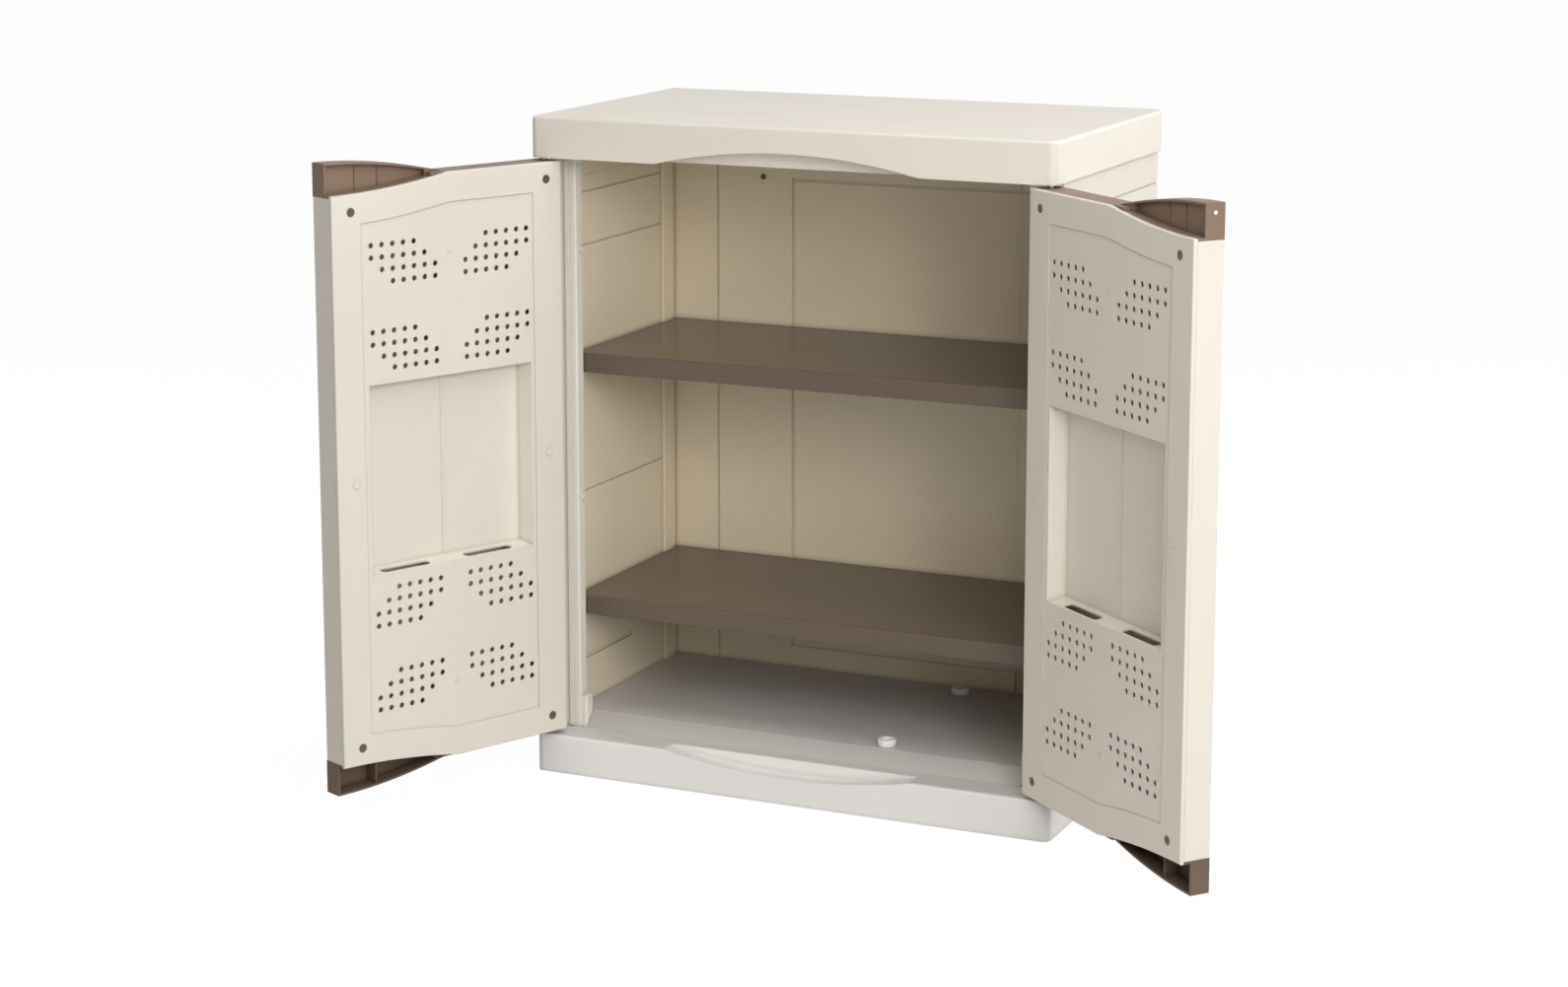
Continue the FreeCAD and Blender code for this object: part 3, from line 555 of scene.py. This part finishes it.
@dataclass(frozen=True)
class Finishes:
    """Every finish of the cabinet.

    Attributes:
        body: The roof and the doors.
        inside: The walls, the back panel and the shelf pegs, in a warmer, yellower cream whose extra warmth
            is painted shade of the cabinet's inside.
        base: The base tray.
        shelf: The shelves.
        cap: The top caps of the doors.
        shaded_low_cap: The bottom caps of the doors, in a darker copy of the cap's taupe that paints their
            shade.
        white: The studs and the bumper plug.
        screw: The screws.
        pin: The hinge pins.
    """

    body: MouldedResin = MouldedResin(
        "cream_body", (0.835, 0.778, 0.685), (0.815, 0.758, 0.665), roughness=0.42, grain=0.00004,
        wave=0.0002, edge_round=0.0016, edge_colour=(0.79, 0.735, 0.65))
    # Warmer, yellower cream than the body: the extra warmth is painted shade of the cabinet's inside;
    # OuterSkin gives the outer faces a plainer cream and the posts painted light.
    inside: MouldedResin = MouldedResin(
        "cream_inside_warm_shade", (0.92, 0.81, 0.61), (0.90, 0.79, 0.59), roughness=0.42, grain=0.00004,
        wave=0.0002, edge_round=0.0012, edge_colour=(0.92, 0.85, 0.70), crevice=0.50,
        skin=OuterSkin((0.78, 0.72, 0.625), (0.90, 0.85, 0.76)))
    base: MouldedResin = MouldedResin(
        "pale_base", (0.91, 0.885, 0.855), (0.89, 0.865, 0.835), roughness=0.44, grain=0.00005,
        wave=0.0002, edge_round=0.0014, edge_colour=(0.90, 0.88, 0.85), crevice=0.30,
        floor_shade=PaintedFloorShade(0.0492, 0.34))
    shelf: MouldedResin = MouldedResin(
        "taupe_shelf", (0.132, 0.0965, 0.070), (0.130, 0.095, 0.069), roughness=0.27, grain=0.0,
        wave=0.00001, edge_round=0.0014, edge_colour=(0.140, 0.103, 0.075), crevice=0.0,
        sheen_ior=1.42, drift=0.0, fleck=0.0)
    cap: MouldedResin = MouldedResin(
        "taupe_cap", (0.285, 0.200, 0.143), (0.265, 0.185, 0.132), roughness=0.46, grain=0.00005,
        wave=0.0002, edge_round=0.0009, edge_colour=(0.34, 0.25, 0.185), crevice=0.60, sheen_ior=1.22)
    # Darker copy of the cap's taupe: painted shade on the bottom caps, which sit low in shade.
    shaded_low_cap: MouldedResin = MouldedResin(
        "taupe_low_cap", (0.190, 0.135, 0.098), (0.172, 0.122, 0.088), roughness=0.46, grain=0.00005,
        wave=0.0002, edge_round=0.0009, edge_colour=(0.25, 0.19, 0.14), crevice=0.60, sheen_ior=1.22)
    white: MouldedResin = MouldedResin(
        "white_plug", (0.93, 0.92, 0.89), (0.91, 0.90, 0.87), roughness=0.30, grain=0.00003,
        wave=0.0001, edge_round=0.0006, edge_colour=(0.88, 0.87, 0.83))
    screw: CoatedSteel = CoatedSteel(
        "dark_screw", (0.13, 0.11, 0.09), (0.25, 0.21, 0.17), roughness=0.42, metal=0.35)
    pin: CoatedSteel = CoatedSteel(
        "hinge_steel", (0.50, 0.50, 0.49), (0.62, 0.62, 0.60), roughness=0.34, metal=0.95)


class Paint:
    """The finishes as ready materials, each made once."""

    def __init__(self, finishes: Finishes) -> None:
        """Build every material.

        Args:
            finishes: The finishes to build.
        """
        self.body = finishes.body.material()
        self.inside = finishes.inside.material()
        self.base = finishes.base.material()
        self.shelf = finishes.shelf.material()
        self.cap = finishes.cap.material()
        self.shaded_low_cap = finishes.shaded_low_cap.material()
        self.white = finishes.white.material()
        self.screw = finishes.screw.material()
        self.pin = finishes.pin.material()


class Bench:
    """The modelling bench: short calls around the operators that shape a piece.

    Attributes:
        LEVEL: Part along Z above which a face's normal makes it a level one.
    """

    LEVEL: float = 0.9

    @staticmethod
    def clear() -> None:
        """Leave edit mode and deselect everything."""
        if bpy.context.mode != "OBJECT":
            bpy.ops.object.mode_set(mode="OBJECT")
        bpy.ops.object.select_all(action="DESELECT")

    @staticmethod
    def only(piece: bpy.types.Object) -> None:
        """Select one piece alone and make it active.

        Args:
            piece: The piece to select.
        """
        Bench.clear()
        piece.select_set(True)
        bpy.context.view_layer.objects.active = piece

    @staticmethod
    def drum(radius: float, depth: float, middle: Point, sides: int = 32) -> bpy.types.Object:
        """Add an upright round blank.

        Args:
            radius: Radius in metres.
            depth: Height in metres.
            middle: Its centre.
            sides: Number of flats round it.

        Returns:
            The new piece.
        """
        Bench.clear()
        bpy.ops.mesh.primitive_cylinder_add(vertices=sides, radius=radius, depth=depth, location=middle)
        return bpy.context.active_object

    @staticmethod
    def brick(size: Point, middle: Point) -> bpy.types.Object:
        """Add a block blank.

        Args:
            size: Its size along X, Y and Z.
            middle: Its centre.

        Returns:
            The new piece.
        """
        Bench.clear()
        bpy.ops.mesh.primitive_cube_add(size=1.0, location=middle, scale=size)
        return bpy.context.active_object

    @staticmethod
    def pick(piece: bpy.types.Object, facing: Facing) -> None:
        """Select the level faces that look one way, and stay in edit mode.

        Args:
            piece: The piece whose faces are selected.
            facing: The way that they look.
        """
        Bench.only(piece)
        bpy.ops.object.mode_set(mode="EDIT")
        bpy.ops.mesh.select_mode(type="FACE")
        bpy.ops.mesh.select_all(action="DESELECT")
        bpy.ops.object.mode_set(mode="OBJECT")
        for face in piece.data.polygons:
            face.select = face.normal.z * facing.value > Bench.LEVEL
        bpy.ops.object.mode_set(mode="EDIT")

    @staticmethod
    def sink(inset: float, depth: float) -> None:
        """Inset the selected faces and extrude the inner ones straight down or up.

        Args:
            inset: Width of the rim that stays.
            depth: How far the inner faces move, below zero for down.
        """
        bpy.ops.mesh.inset(thickness=inset, depth=0.0)
        bpy.ops.mesh.extrude_region_move(TRANSFORM_OT_translate={"value": (0, 0, depth)})

    @staticmethod
    def soften(piece: bpy.types.Object, width: float, segments: int = 3, angle: float = 40.0) -> None:
        """Round the sharp edges with an applied modifier and shade the piece smooth.

        Args:
            piece: The piece to soften.
            width: Width of the rounding in metres.
            segments: Number of facets in it.
            angle: Smallest edge angle that is rounded, in degrees.
        """
        Bench.only(piece)
        rounding = piece.modifiers.new("rounding", "BEVEL")
        rounding.width = width
        rounding.segments = segments
        rounding.limit_method = "ANGLE"
        rounding.angle_limit = math.radians(angle)
        rounding.harden_normals = False
        bpy.ops.object.modifier_apply(modifier=rounding.name)
        bpy.ops.object.shade_smooth_by_angle(angle=math.radians(angle))

    @staticmethod
    def cut(piece: bpy.types.Object, tool: bpy.types.Object) -> None:
        """Cut one piece with another, which is used up.

        Args:
            piece: The piece that stays.
            tool: The cutter.
        """
        Bench.only(piece)
        cutter = piece.modifiers.new("cut", "BOOLEAN")
        cutter.operation = "DIFFERENCE"
        cutter.solver = "EXACT"
        cutter.object = tool
        bpy.ops.object.modifier_apply(modifier=cutter.name)
        bpy.data.objects.remove(tool, do_unlink=True)

    @staticmethod
    def copies(pattern: bpy.types.Object, places: Iterable[Matrix], name: str) -> bpy.types.Object:
        """Copy a piece to each place and join the copies.

        Args:
            pattern: The modelled piece, which is used up.
            places: Where each copy stands.
            name: Name of the joined piece.

        Returns:
            The joined piece, with its place in its mesh.
        """
        made = []
        for place in places:
            copy = pattern.copy()
            copy.data = pattern.data.copy()
            bpy.context.collection.objects.link(copy)
            copy.matrix_world = place @ pattern.matrix_world
            made.append(copy)
        bpy.data.objects.remove(pattern, do_unlink=True)
        Bench.only(made[0])
        if len(made) > 1:
            for copy in made:
                copy.select_set(True)
            bpy.ops.object.join()
        joined = bpy.context.active_object
        joined.name = name
        joined.data.name = name
        Bench.settle(joined)
        return joined

    @staticmethod
    def settle(piece: bpy.types.Object) -> None:
        """Put the piece's place into its mesh, so that its object sits at the origin.

        Args:
            piece: The piece to settle.
        """
        Bench.only(piece)
        bpy.ops.object.transform_apply(location=True, rotation=True, scale=True)
        bpy.ops.object.mode_set(mode="EDIT")
        bpy.ops.mesh.select_all(action="SELECT")
        bpy.ops.mesh.normals_make_consistent(inside=False)
        bpy.ops.object.mode_set(mode="OBJECT")

    @staticmethod
    def dress(piece: bpy.types.Object, material: bpy.types.Material) -> None:
        """Give a piece one material all over.

        Args:
            piece: The piece or CAD node.
            material: Its material.
        """
        if not piece.material_slots:
            piece.data.materials.append(material)
        for slot in piece.material_slots:
            slot.material = material


def node(name: str) -> bpy.types.Object:
    """Find the object of a CAD node.

    Args:
        name: Name of the node.

    Returns:
        Its object.
    """
    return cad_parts[name]


@dataclass(frozen=True)
class ScrewModel:
    """A cross-head screw, modelled with its head at the origin facing +Z.

    Attributes:
        head_radius: Radius of the head.
        head_height: Height of the head.
        shank_radius: Radius of the shank.
        shank_length: Length of the shank below the head.
        slot_width: Width of the cross recess.
        slot_share: Length of the cross recess, as a multiple of the head's radius.
        tip_share: How far the tip draws in, as a share of the shank's radius.
        edge_share: Width of the rounding, as a share of the head's height.
    """

    head_radius: float = 5.0 * MM
    head_height: float = 1.4 * MM
    shank_radius: float = 1.65 * MM
    shank_length: float = 14.0 * MM
    slot_width: float = 0.9 * MM
    slot_share: float = 1.15
    tip_share: float = 0.55
    edge_share: float = 0.28

    def build(self) -> bpy.types.Object:
        """Model the screw.

        Returns:
            The screw, with its bearing face at the height of the origin.
        """
        screw = Bench.drum(self.head_radius, self.head_height, (0.0, 0.0, self.head_height / 2))
        Bench.settle(screw)
        Bench.pick(screw, Facing.DOWN)
        Bench.sink(self.head_radius - self.shank_radius, -self.shank_length)
        bpy.ops.mesh.inset(thickness=self.shank_radius * self.tip_share, depth=0.0)
        bpy.ops.transform.translate(value=(0, 0, -self.shank_radius))
        Bench.clear()
        reach = self.head_radius * self.slot_share
        for size in ((reach, self.slot_width, self.head_height), (self.slot_width, reach, self.head_height)):
            Bench.cut(screw, Bench.brick(size, (0.0, 0.0, self.head_height)))
        Bench.soften(screw, self.head_height * self.edge_share)
        return screw


@dataclass(frozen=True)
class Studs:
    """The two pale studs on the cabinet floor.

    Attributes:
        radius: Outer radius.
        height: Height above the floor.
        floor: Height of the floor.
        hole_radius: Radius of the blind hole.
        hole_depth: Depth of the blind hole.
        across: Place across the cabinet.
        front: Place of the front stud in depth.
        spacing: Distance between the studs.
        edge: Width of the rounding.
        edge_facets: Number of facets in the rounding.
        sides: Number of flats round the stud.
    """

    radius: float = 11.5 * MM
    height: float = 9.0 * MM
    floor: float = 68.0 * MM
    hole_radius: float = 6.5 * MM
    hole_depth: float = 6.0 * MM
    across: float = 106.0 * MM
    front: float = -124.5 * MM
    spacing: float = 246.5 * MM
    edge: float = 1.1 * MM
    edge_facets: int = 4
    sides: int = 40

    def build(self, paint: Paint) -> bpy.types.Object:
        """Model the studs from a drum with a sunk top.

        Args:
            paint: The materials.

        Returns:
            Both studs as one piece.
        """
        stud = Bench.drum(self.radius, self.height, (0.0, 0.0, self.height / 2), self.sides)
        Bench.settle(stud)
        Bench.pick(stud, Facing.UP)
        Bench.sink(self.radius - self.hole_radius, -self.hole_depth)
        Bench.clear()
        Bench.soften(stud, self.edge, self.edge_facets)
        places = [Matrix.Translation((self.across, self.front + step, self.floor))
                  for step in (0.0, self.spacing)]
        studs = Bench.copies(stud, places, "floor_stud_rings")
        Bench.dress(studs, paint.white)
        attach(studs, "cabinet")
        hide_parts("floor_studs")
        return studs


@dataclass(frozen=True)
class BackPanelScrews:
    """The two small screws high on the back panel.

    Attributes:
        across: Distance of each screw from the middle.
        height: Height of the screws.
        face: Place of the panel's front face in depth.
        screw: The screw.
    """

    across: float = 187.0 * MM
    height: float = 722.5 * MM
    face: float = 152.0 * MM
    screw: ScrewModel = ScrewModel(head_radius=3.6 * MM, head_height=1.6 * MM, shank_radius=1.4 * MM,
                                   shank_length=7.0 * MM, slot_width=0.8 * MM)

    def build(self, paint: Paint) -> bpy.types.Object:
        """Model the screws.

        Args:
            paint: The materials.

        Returns:
            Both screws as one piece.
        """
        turn = Matrix.Rotation(math.radians(90.0), 4, "X")
        places = [Matrix.Translation((x, self.face, self.height)) @ turn for x in (-self.across, self.across)]
        screws = Bench.copies(self.screw.build(), places, "back_panel_screw_heads")
        Bench.dress(screws, paint.screw)
        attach(screws, "cabinet")
        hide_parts("back_panel_screws")
        return screws


@dataclass(frozen=True)
class ShelfPegs:
    """Four rounded pegs that carry one shelf.

    Attributes:
        shelf: Word that names the shelf, upper or lower.
        top: Height of the pegs' upper face.
        wall: Distance of the walls' inner faces from the middle.
        reach: How far the pegs stand out of the wall.
        width: Width of a peg.
        height: Height of a peg.
        depths: Places of the pegs in depth.
        rim: Width of the rim round the hollow underside.
        hollow: Depth of the hollow, as a share of the peg's height.
        edge: Width of the rounding.
    """

    shelf: str
    top: float
    wall: float = 317.0 * MM
    reach: float = 10.0 * MM
    width: float = 14.0 * MM
    height: float = 8.0 * MM
    depths: tuple[float, float] = (-116.0 * MM, 88.0 * MM)
    rim: float = 2.0 * MM
    hollow: float = 0.5
    edge: float = 0.6 * MM

    def build(self, paint: Paint) -> bpy.types.Object:
        """Model one peg with a hollowed underside and copy it to its places.

        Args:
            paint: The materials.

        Returns:
            The four pegs as one piece.
        """
        peg = Bench.brick((self.reach, self.width, self.height), (-self.reach / 2, 0.0, -self.height / 2))
        Bench.settle(peg)
        Bench.pick(peg, Facing.DOWN)
        Bench.sink(self.rim, self.height * self.hollow)
        Bench.clear()
        Bench.soften(peg, self.edge)
        turned = Matrix.Rotation(math.pi, 4, "Z")
        places = []
        for depth in self.depths:
            places.append(Matrix.Translation((self.wall, depth, self.top)))
            places.append(Matrix.Translation((-self.wall, depth, self.top)) @ turned)
        pegs = Bench.copies(peg, places, self.shelf + "_peg_blocks")
        Bench.dress(pegs, paint.inside)
        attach(pegs, "cabinet")
        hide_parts(self.shelf + "_shelf_pegs")
        return pegs


@dataclass(frozen=True)
class CabinetBody:
    """The fixed body: base, roof, walls, back panel, shelves and their small parts.

    Attributes:
        studs: The studs on the floor.
        screws: The screws of the back panel.
        upper_pegs: The pegs of the upper shelf.
        lower_pegs: The pegs of the lower shelf.
    """

    studs: Studs = Studs()
    screws: BackPanelScrews = BackPanelScrews()
    upper_pegs: ShelfPegs = ShelfPegs("upper", top=504.0 * MM)
    lower_pegs: ShelfPegs = ShelfPegs("lower", top=193.0 * MM)

    def dress(self, paint: Paint) -> None:
        """Give the body's CAD nodes their finishes.

        Args:
            paint: The materials.
        """
        Bench.dress(node("base"), paint.base)
        Bench.dress(node("roof"), paint.body)
        for name in ("left_side_wall", "right_side_wall", "back_panel"):
            Bench.dress(node(name), paint.inside)
        for name in ("upper_shelf", "lower_shelf"):
            Bench.dress(node(name), paint.shelf)

    def build(self, paint: Paint) -> list[bpy.types.Object]:
        """Dress the body and model its small pieces.

        Args:
            paint: The materials.

        Returns:
            The new pieces.
        """
        self.dress(paint)
        small_parts = (self.studs, self.screws, self.upper_pegs, self.lower_pegs)
        return [part.build(paint) for part in small_parts]


@dataclass(frozen=True)
class BumperPlug:
    """The small plug in the end of the right door's top cap, modelled facing +Z.

    Attributes:
        radius: Radius of the plug.
        length: Length of the plug.
        middle: Place of its centre along its length.
        rim: Width of the rim round its dimple.
        dimple: Depth of the dimple.
        edge: Width of the rounding.
        sides: Number of flats round the plug.
        place: Where it sits in the closed door.
    """

    radius: float = 2.3 * MM
    length: float = 2.6 * MM
    middle: float = -0.7 * MM
    rim: float = 1.3 * MM
    dimple: float = 0.5 * MM
    edge: float = 0.25 * MM
    sides: int = 24
    place: Point = (1.5 * MM, -185.75 * MM, 785.0 * MM)

    def build(self, paint: Paint, swing: Matrix) -> bpy.types.Object:
        """Model the plug.

        Args:
            paint: The materials.
            swing: Place of the open door relative to the closed one.

        Returns:
            The plug.
        """
        plug = Bench.drum(self.radius, self.length, (0.0, 0.0, self.middle), self.sides)
        Bench.settle(plug)
        Bench.pick(plug, Facing.UP)
        Bench.sink(self.rim, -self.dimple)
        Bench.clear()
        Bench.soften(plug, self.edge)
        turn = Matrix.Rotation(math.radians(-90.0), 4, "Y")
        plug = Bench.copies(plug, [swing @ Matrix.Translation(self.place) @ turn], "bumper_plug")
        Bench.dress(plug, paint.white)
        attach(plug, "right_door")
        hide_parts("right_door_bumper")
        return plug


@dataclass(frozen=True)
class Door:
    """One door at its open rest angle.

    Attributes:
        side: Which door it is.
        open_angle: How far it stands open, in degrees.
        bumper: The plug in its top cap, if it has one.
        pin_across: Distance of the hinge line from the middle.
        pin_depth: Place of the hinge line in depth.
        edge: Distance of the hinge edge from the middle.
        face: Place of the closed door's inner face in depth.
        seat: Depth of the screw seats below that face.
        screw: The screw.
        screw_places: Distances from the hinge edge and heights of the screws, in millimetres.
    """

    side: Side
    open_angle: float
    bumper: BumperPlug | None = None
    pin_across: float = 328.5 * MM
    pin_depth: float = -183.5 * MM
    edge: float = 335.5 * MM
    face: float = -159.5 * MM
    seat: float = 1.7 * MM
    screw: ScrewModel = ScrewModel()
    screw_places: tuple[Range, ...] = ((22.5, 753.2), (22.5, 77.3), (307.5, 737.8), (307.5, 92.7))

    def swing(self) -> Matrix:
        """Place of the open door relative to the closed one.

        Returns:
            The turn about the hinge line.
        """
        sign = self.side.value
        pivot = Vector((sign * self.pin_across, self.pin_depth, 0.0))
        turn = Matrix.Rotation(math.radians(sign * self.open_angle), 4, "Z")
        return Matrix.Translation(pivot) @ turn @ Matrix.Translation(-pivot)

    def place_on_face(self, along: float, height: float, depth: float) -> Matrix:
        """Place on the inner face, with +Z out of the face.

        Args:
            along: Distance from the hinge edge.
            height: Height above the ground.
            depth: Distance below the inner face.

        Returns:
            The place at rest.
        """
        x = self.side.value * (self.edge - along)
        lay = Matrix.Rotation(math.radians(-90.0), 4, "X")
        return self.swing() @ Matrix.Translation((x, self.face - depth, height)) @ lay

    def dress(self, paint: Paint) -> None:
        """Give the door's CAD nodes their finishes.

        Args:
            paint: The materials.
        """
        word = self.side.word + "_door_"
        for part in ("outer_shell", "inner_panel"):
            Bench.dress(node(word + part), paint.body)
        Bench.dress(node(word + "top_cap"), paint.cap)
        Bench.dress(node(word + "bottom_cap"), paint.shaded_low_cap)
        for part in ("upper_hinge_pin", "lower_hinge_pin"):
            Bench.dress(node(word + part), paint.pin)

    def build(self, paint: Paint) -> list[bpy.types.Object]:
        """Dress the door and model its screws and its bumper.

        Args:
            paint: The materials.

        Returns:
            The new pieces.
        """
        self.dress(paint)
        word = self.side.word + "_door"
        places = [self.place_on_face(along * MM, height * MM, self.seat)
                  for along, height in self.screw_places]
        screws = Bench.copies(self.screw.build(), places, word + "_screw_heads")
        Bench.dress(screws, paint.screw)
        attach(screws, word)
        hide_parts(word + "_screws")
        made = [screws]
        if self.bumper is not None:
            made.append(self.bumper.build(paint, self.swing()))
        return made


@dataclass(frozen=True)
class Lamp:
    """A square soft lamp that faces the cabinet.

    Attributes:
        name: Name of the lamp.
        place: Where it hangs.
        power: Its power in watts.
        size: Side of its square.
        colour: Colour of its light.
    """

    name: str
    place: Point
    power: float
    size: float
    colour: LampColour = LampColour.PLAIN

    def hang(self, target: Point) -> None:
        """Hang the lamp.

        Args:
            target: Point that it faces.
        """
        light = bpy.data.lights.new(self.name, "AREA")
        light.energy = self.power
        light.size = self.size
        light.color = self.colour.value
        lamp = bpy.data.objects.new(self.name, light)
        lamp.location = self.place
        direction = Vector(target) - Vector(self.place)
        lamp.rotation_euler = direction.to_track_quat("-Z", "Y").to_euler()
        bpy.context.collection.objects.link(lamp)


@dataclass(frozen=True)
class Studio:
    """Plain pale floor, soft light and the camera.

    Attributes:
        camera_place: Place of the camera.
        camera_turn: Turn of the camera about the vertical, in degrees.
        camera_drop: Angle of the view below the horizon, in degrees.
        focal_pixels: Focal length in pixels of the image.
        principal: Pixel that the camera's axis meets.
        image: Width and height of the image.
        sensor: Width of the camera's sensor, in millimetres.
        view_reach: Distance that the camera sees to.
        sky: Brightness of the surroundings.
        floor_size: Side of the floor.
        floor_drop: Distance of the floor below the cabinet.
        floor_grey: Grey of the floor, as the cabinet's light meets it.
        floor_glow: Brightness of the floor's white, as the camera sees it.
        floor_glow_share: How much of that white covers the grey and its shadows.
        lamp_target: Point that the lamps face.
        lamps: The soft lamps.
    """

    camera_place: Point = (1.5422, -3.6028, 1.2348)
    camera_turn: float = 24.484
    camera_drop: float = 9.91
    focal_pixels: float = 3236.1
    principal: tuple[float, float] = (788.0, 340.0)
    image: tuple[int, int] = (1590, 1001)
    sensor: float = 36.0
    view_reach: float = 100.0
    sky: float = 0.015
    floor_size: float = 60.0
    floor_drop: float = 0.0006
    floor_grey: float = 0.72
    floor_glow: float = 1.03
    floor_glow_share: float = 0.95
    lamp_target: Point = (0.0, 0.0, 0.4)
    lamps: tuple[Lamp, ...] = (
        Lamp("side_key", (2.55, -2.2, 1.5), 31.0, 1.5),
        Lamp("high_side", (2.55, -2.2, 2.5), 12.0, 2.0),
        Lamp("front_key", (1.9, -2.9, 1.5), 23.0, 1.4),
        Lamp("high_front", (0.9, -3.3, 2.6), 13.5, 2.0),
        Lamp("left_front", (-0.8, -2.6, 2.9), 13.0, 2.0, LampColour.WARM),
        Lamp("overhead", (0.2, -0.3, 3.0), 18.5, 2.0, LampColour.COOL),
        Lamp("overhead_side", (1.6, -0.4, 2.8), 22.5, 2.0, LampColour.COOL),
        Lamp("rear_side", (2.2, 2.6, 1.5), 46.0, 1.6),
        Lamp("left_fill", (-3.0, 0.9, 1.8), 22.0, 2.0),
    )

    def camera(self) -> None:
        """Set up the camera at the photograph's viewing angle."""
        lens = bpy.data.cameras.new("camera")
        lens.sensor_fit = "HORIZONTAL"
        lens.sensor_width = self.sensor
        wide, high = self.image
        lens.lens = self.focal_pixels * self.sensor / wide
        lens.shift_x = (wide / 2 - self.principal[0]) / wide
        lens.shift_y = (self.principal[1] - high / 2) / wide
        lens.clip_end = self.view_reach
        camera = bpy.data.objects.new("camera", lens)
        camera.location = self.camera_place
        camera.rotation_euler = (math.radians(90.0 - self.camera_drop), 0.0, math.radians(self.camera_turn))
        bpy.context.collection.objects.link(camera)
        bpy.context.scene.camera = camera

    def world(self) -> None:
        """Light from all round, white where the camera or a reflection sees it."""
        world = bpy.data.worlds.new("studio")
        sheet = NodeSheet(world)
        light = sheet.add("ShaderNodeBackground")
        strength = sheet.spread(sheet.background_rays(), (0.0, 1.0), (self.sky, 1.0))
        sheet.link(strength, light.inputs["Strength"])
        sheet.show(light.outputs[0])
        bpy.context.scene.world = world

    def floor(self) -> None:
        """Lay the pale floor, which keeps a faint shadow."""
        Bench.clear()
        bpy.ops.mesh.primitive_plane_add(size=self.floor_size, location=(0.0, 0.0, -self.floor_drop))
        floor = bpy.context.active_object
        floor.name = "studio_floor"
        sheet = NodeSheet(bpy.data.materials.new("pale_floor"))
        matte = sheet.add("ShaderNodeBsdfDiffuse")
        sheet.feed(matte.inputs["Color"], (self.floor_grey,) * 3)
        glow = sheet.add("ShaderNodeEmission", strength=self.floor_glow)
        mix = sheet.add("ShaderNodeMixShader")
        share = sheet.spread(sheet.background_rays(), (0.0, 1.0), (0.0, self.floor_glow_share))
        sheet.link(share, mix.inputs[0])
        sheet.link(matte.outputs[0], mix.inputs[1])
        sheet.link(glow.outputs[0], mix.inputs[2])
        sheet.show(mix.outputs[0])
        floor.data.materials.append(sheet.owner)

    def build(self) -> None:
        """Set up the camera, surroundings, lamps and floor."""
        bpy.context.scene.view_settings.view_transform = "Standard"
        self.camera()
        self.world()
        for lamp in self.lamps:
            lamp.hang(self.lamp_target)
        self.floor()


def main() -> None:
    """Build the studio and the cabinet in order."""
    logging.basicConfig(level=logging.INFO, format="%(message)s")
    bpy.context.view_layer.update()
    Studio().build()
    paint = Paint(Finishes())
    assemblies = (
        CabinetBody(),
        Door(Side.LEFT, open_angle=114.0),
        Door(Side.RIGHT, open_angle=141.0, bumper=BumperPlug()),
    )
    for assembly in assemblies:
        for piece in assembly.build(paint):
            LOG.info("%s: %d faces", piece.name, len(piece.data.polygons))


if __name__ == "__main__":
    main()
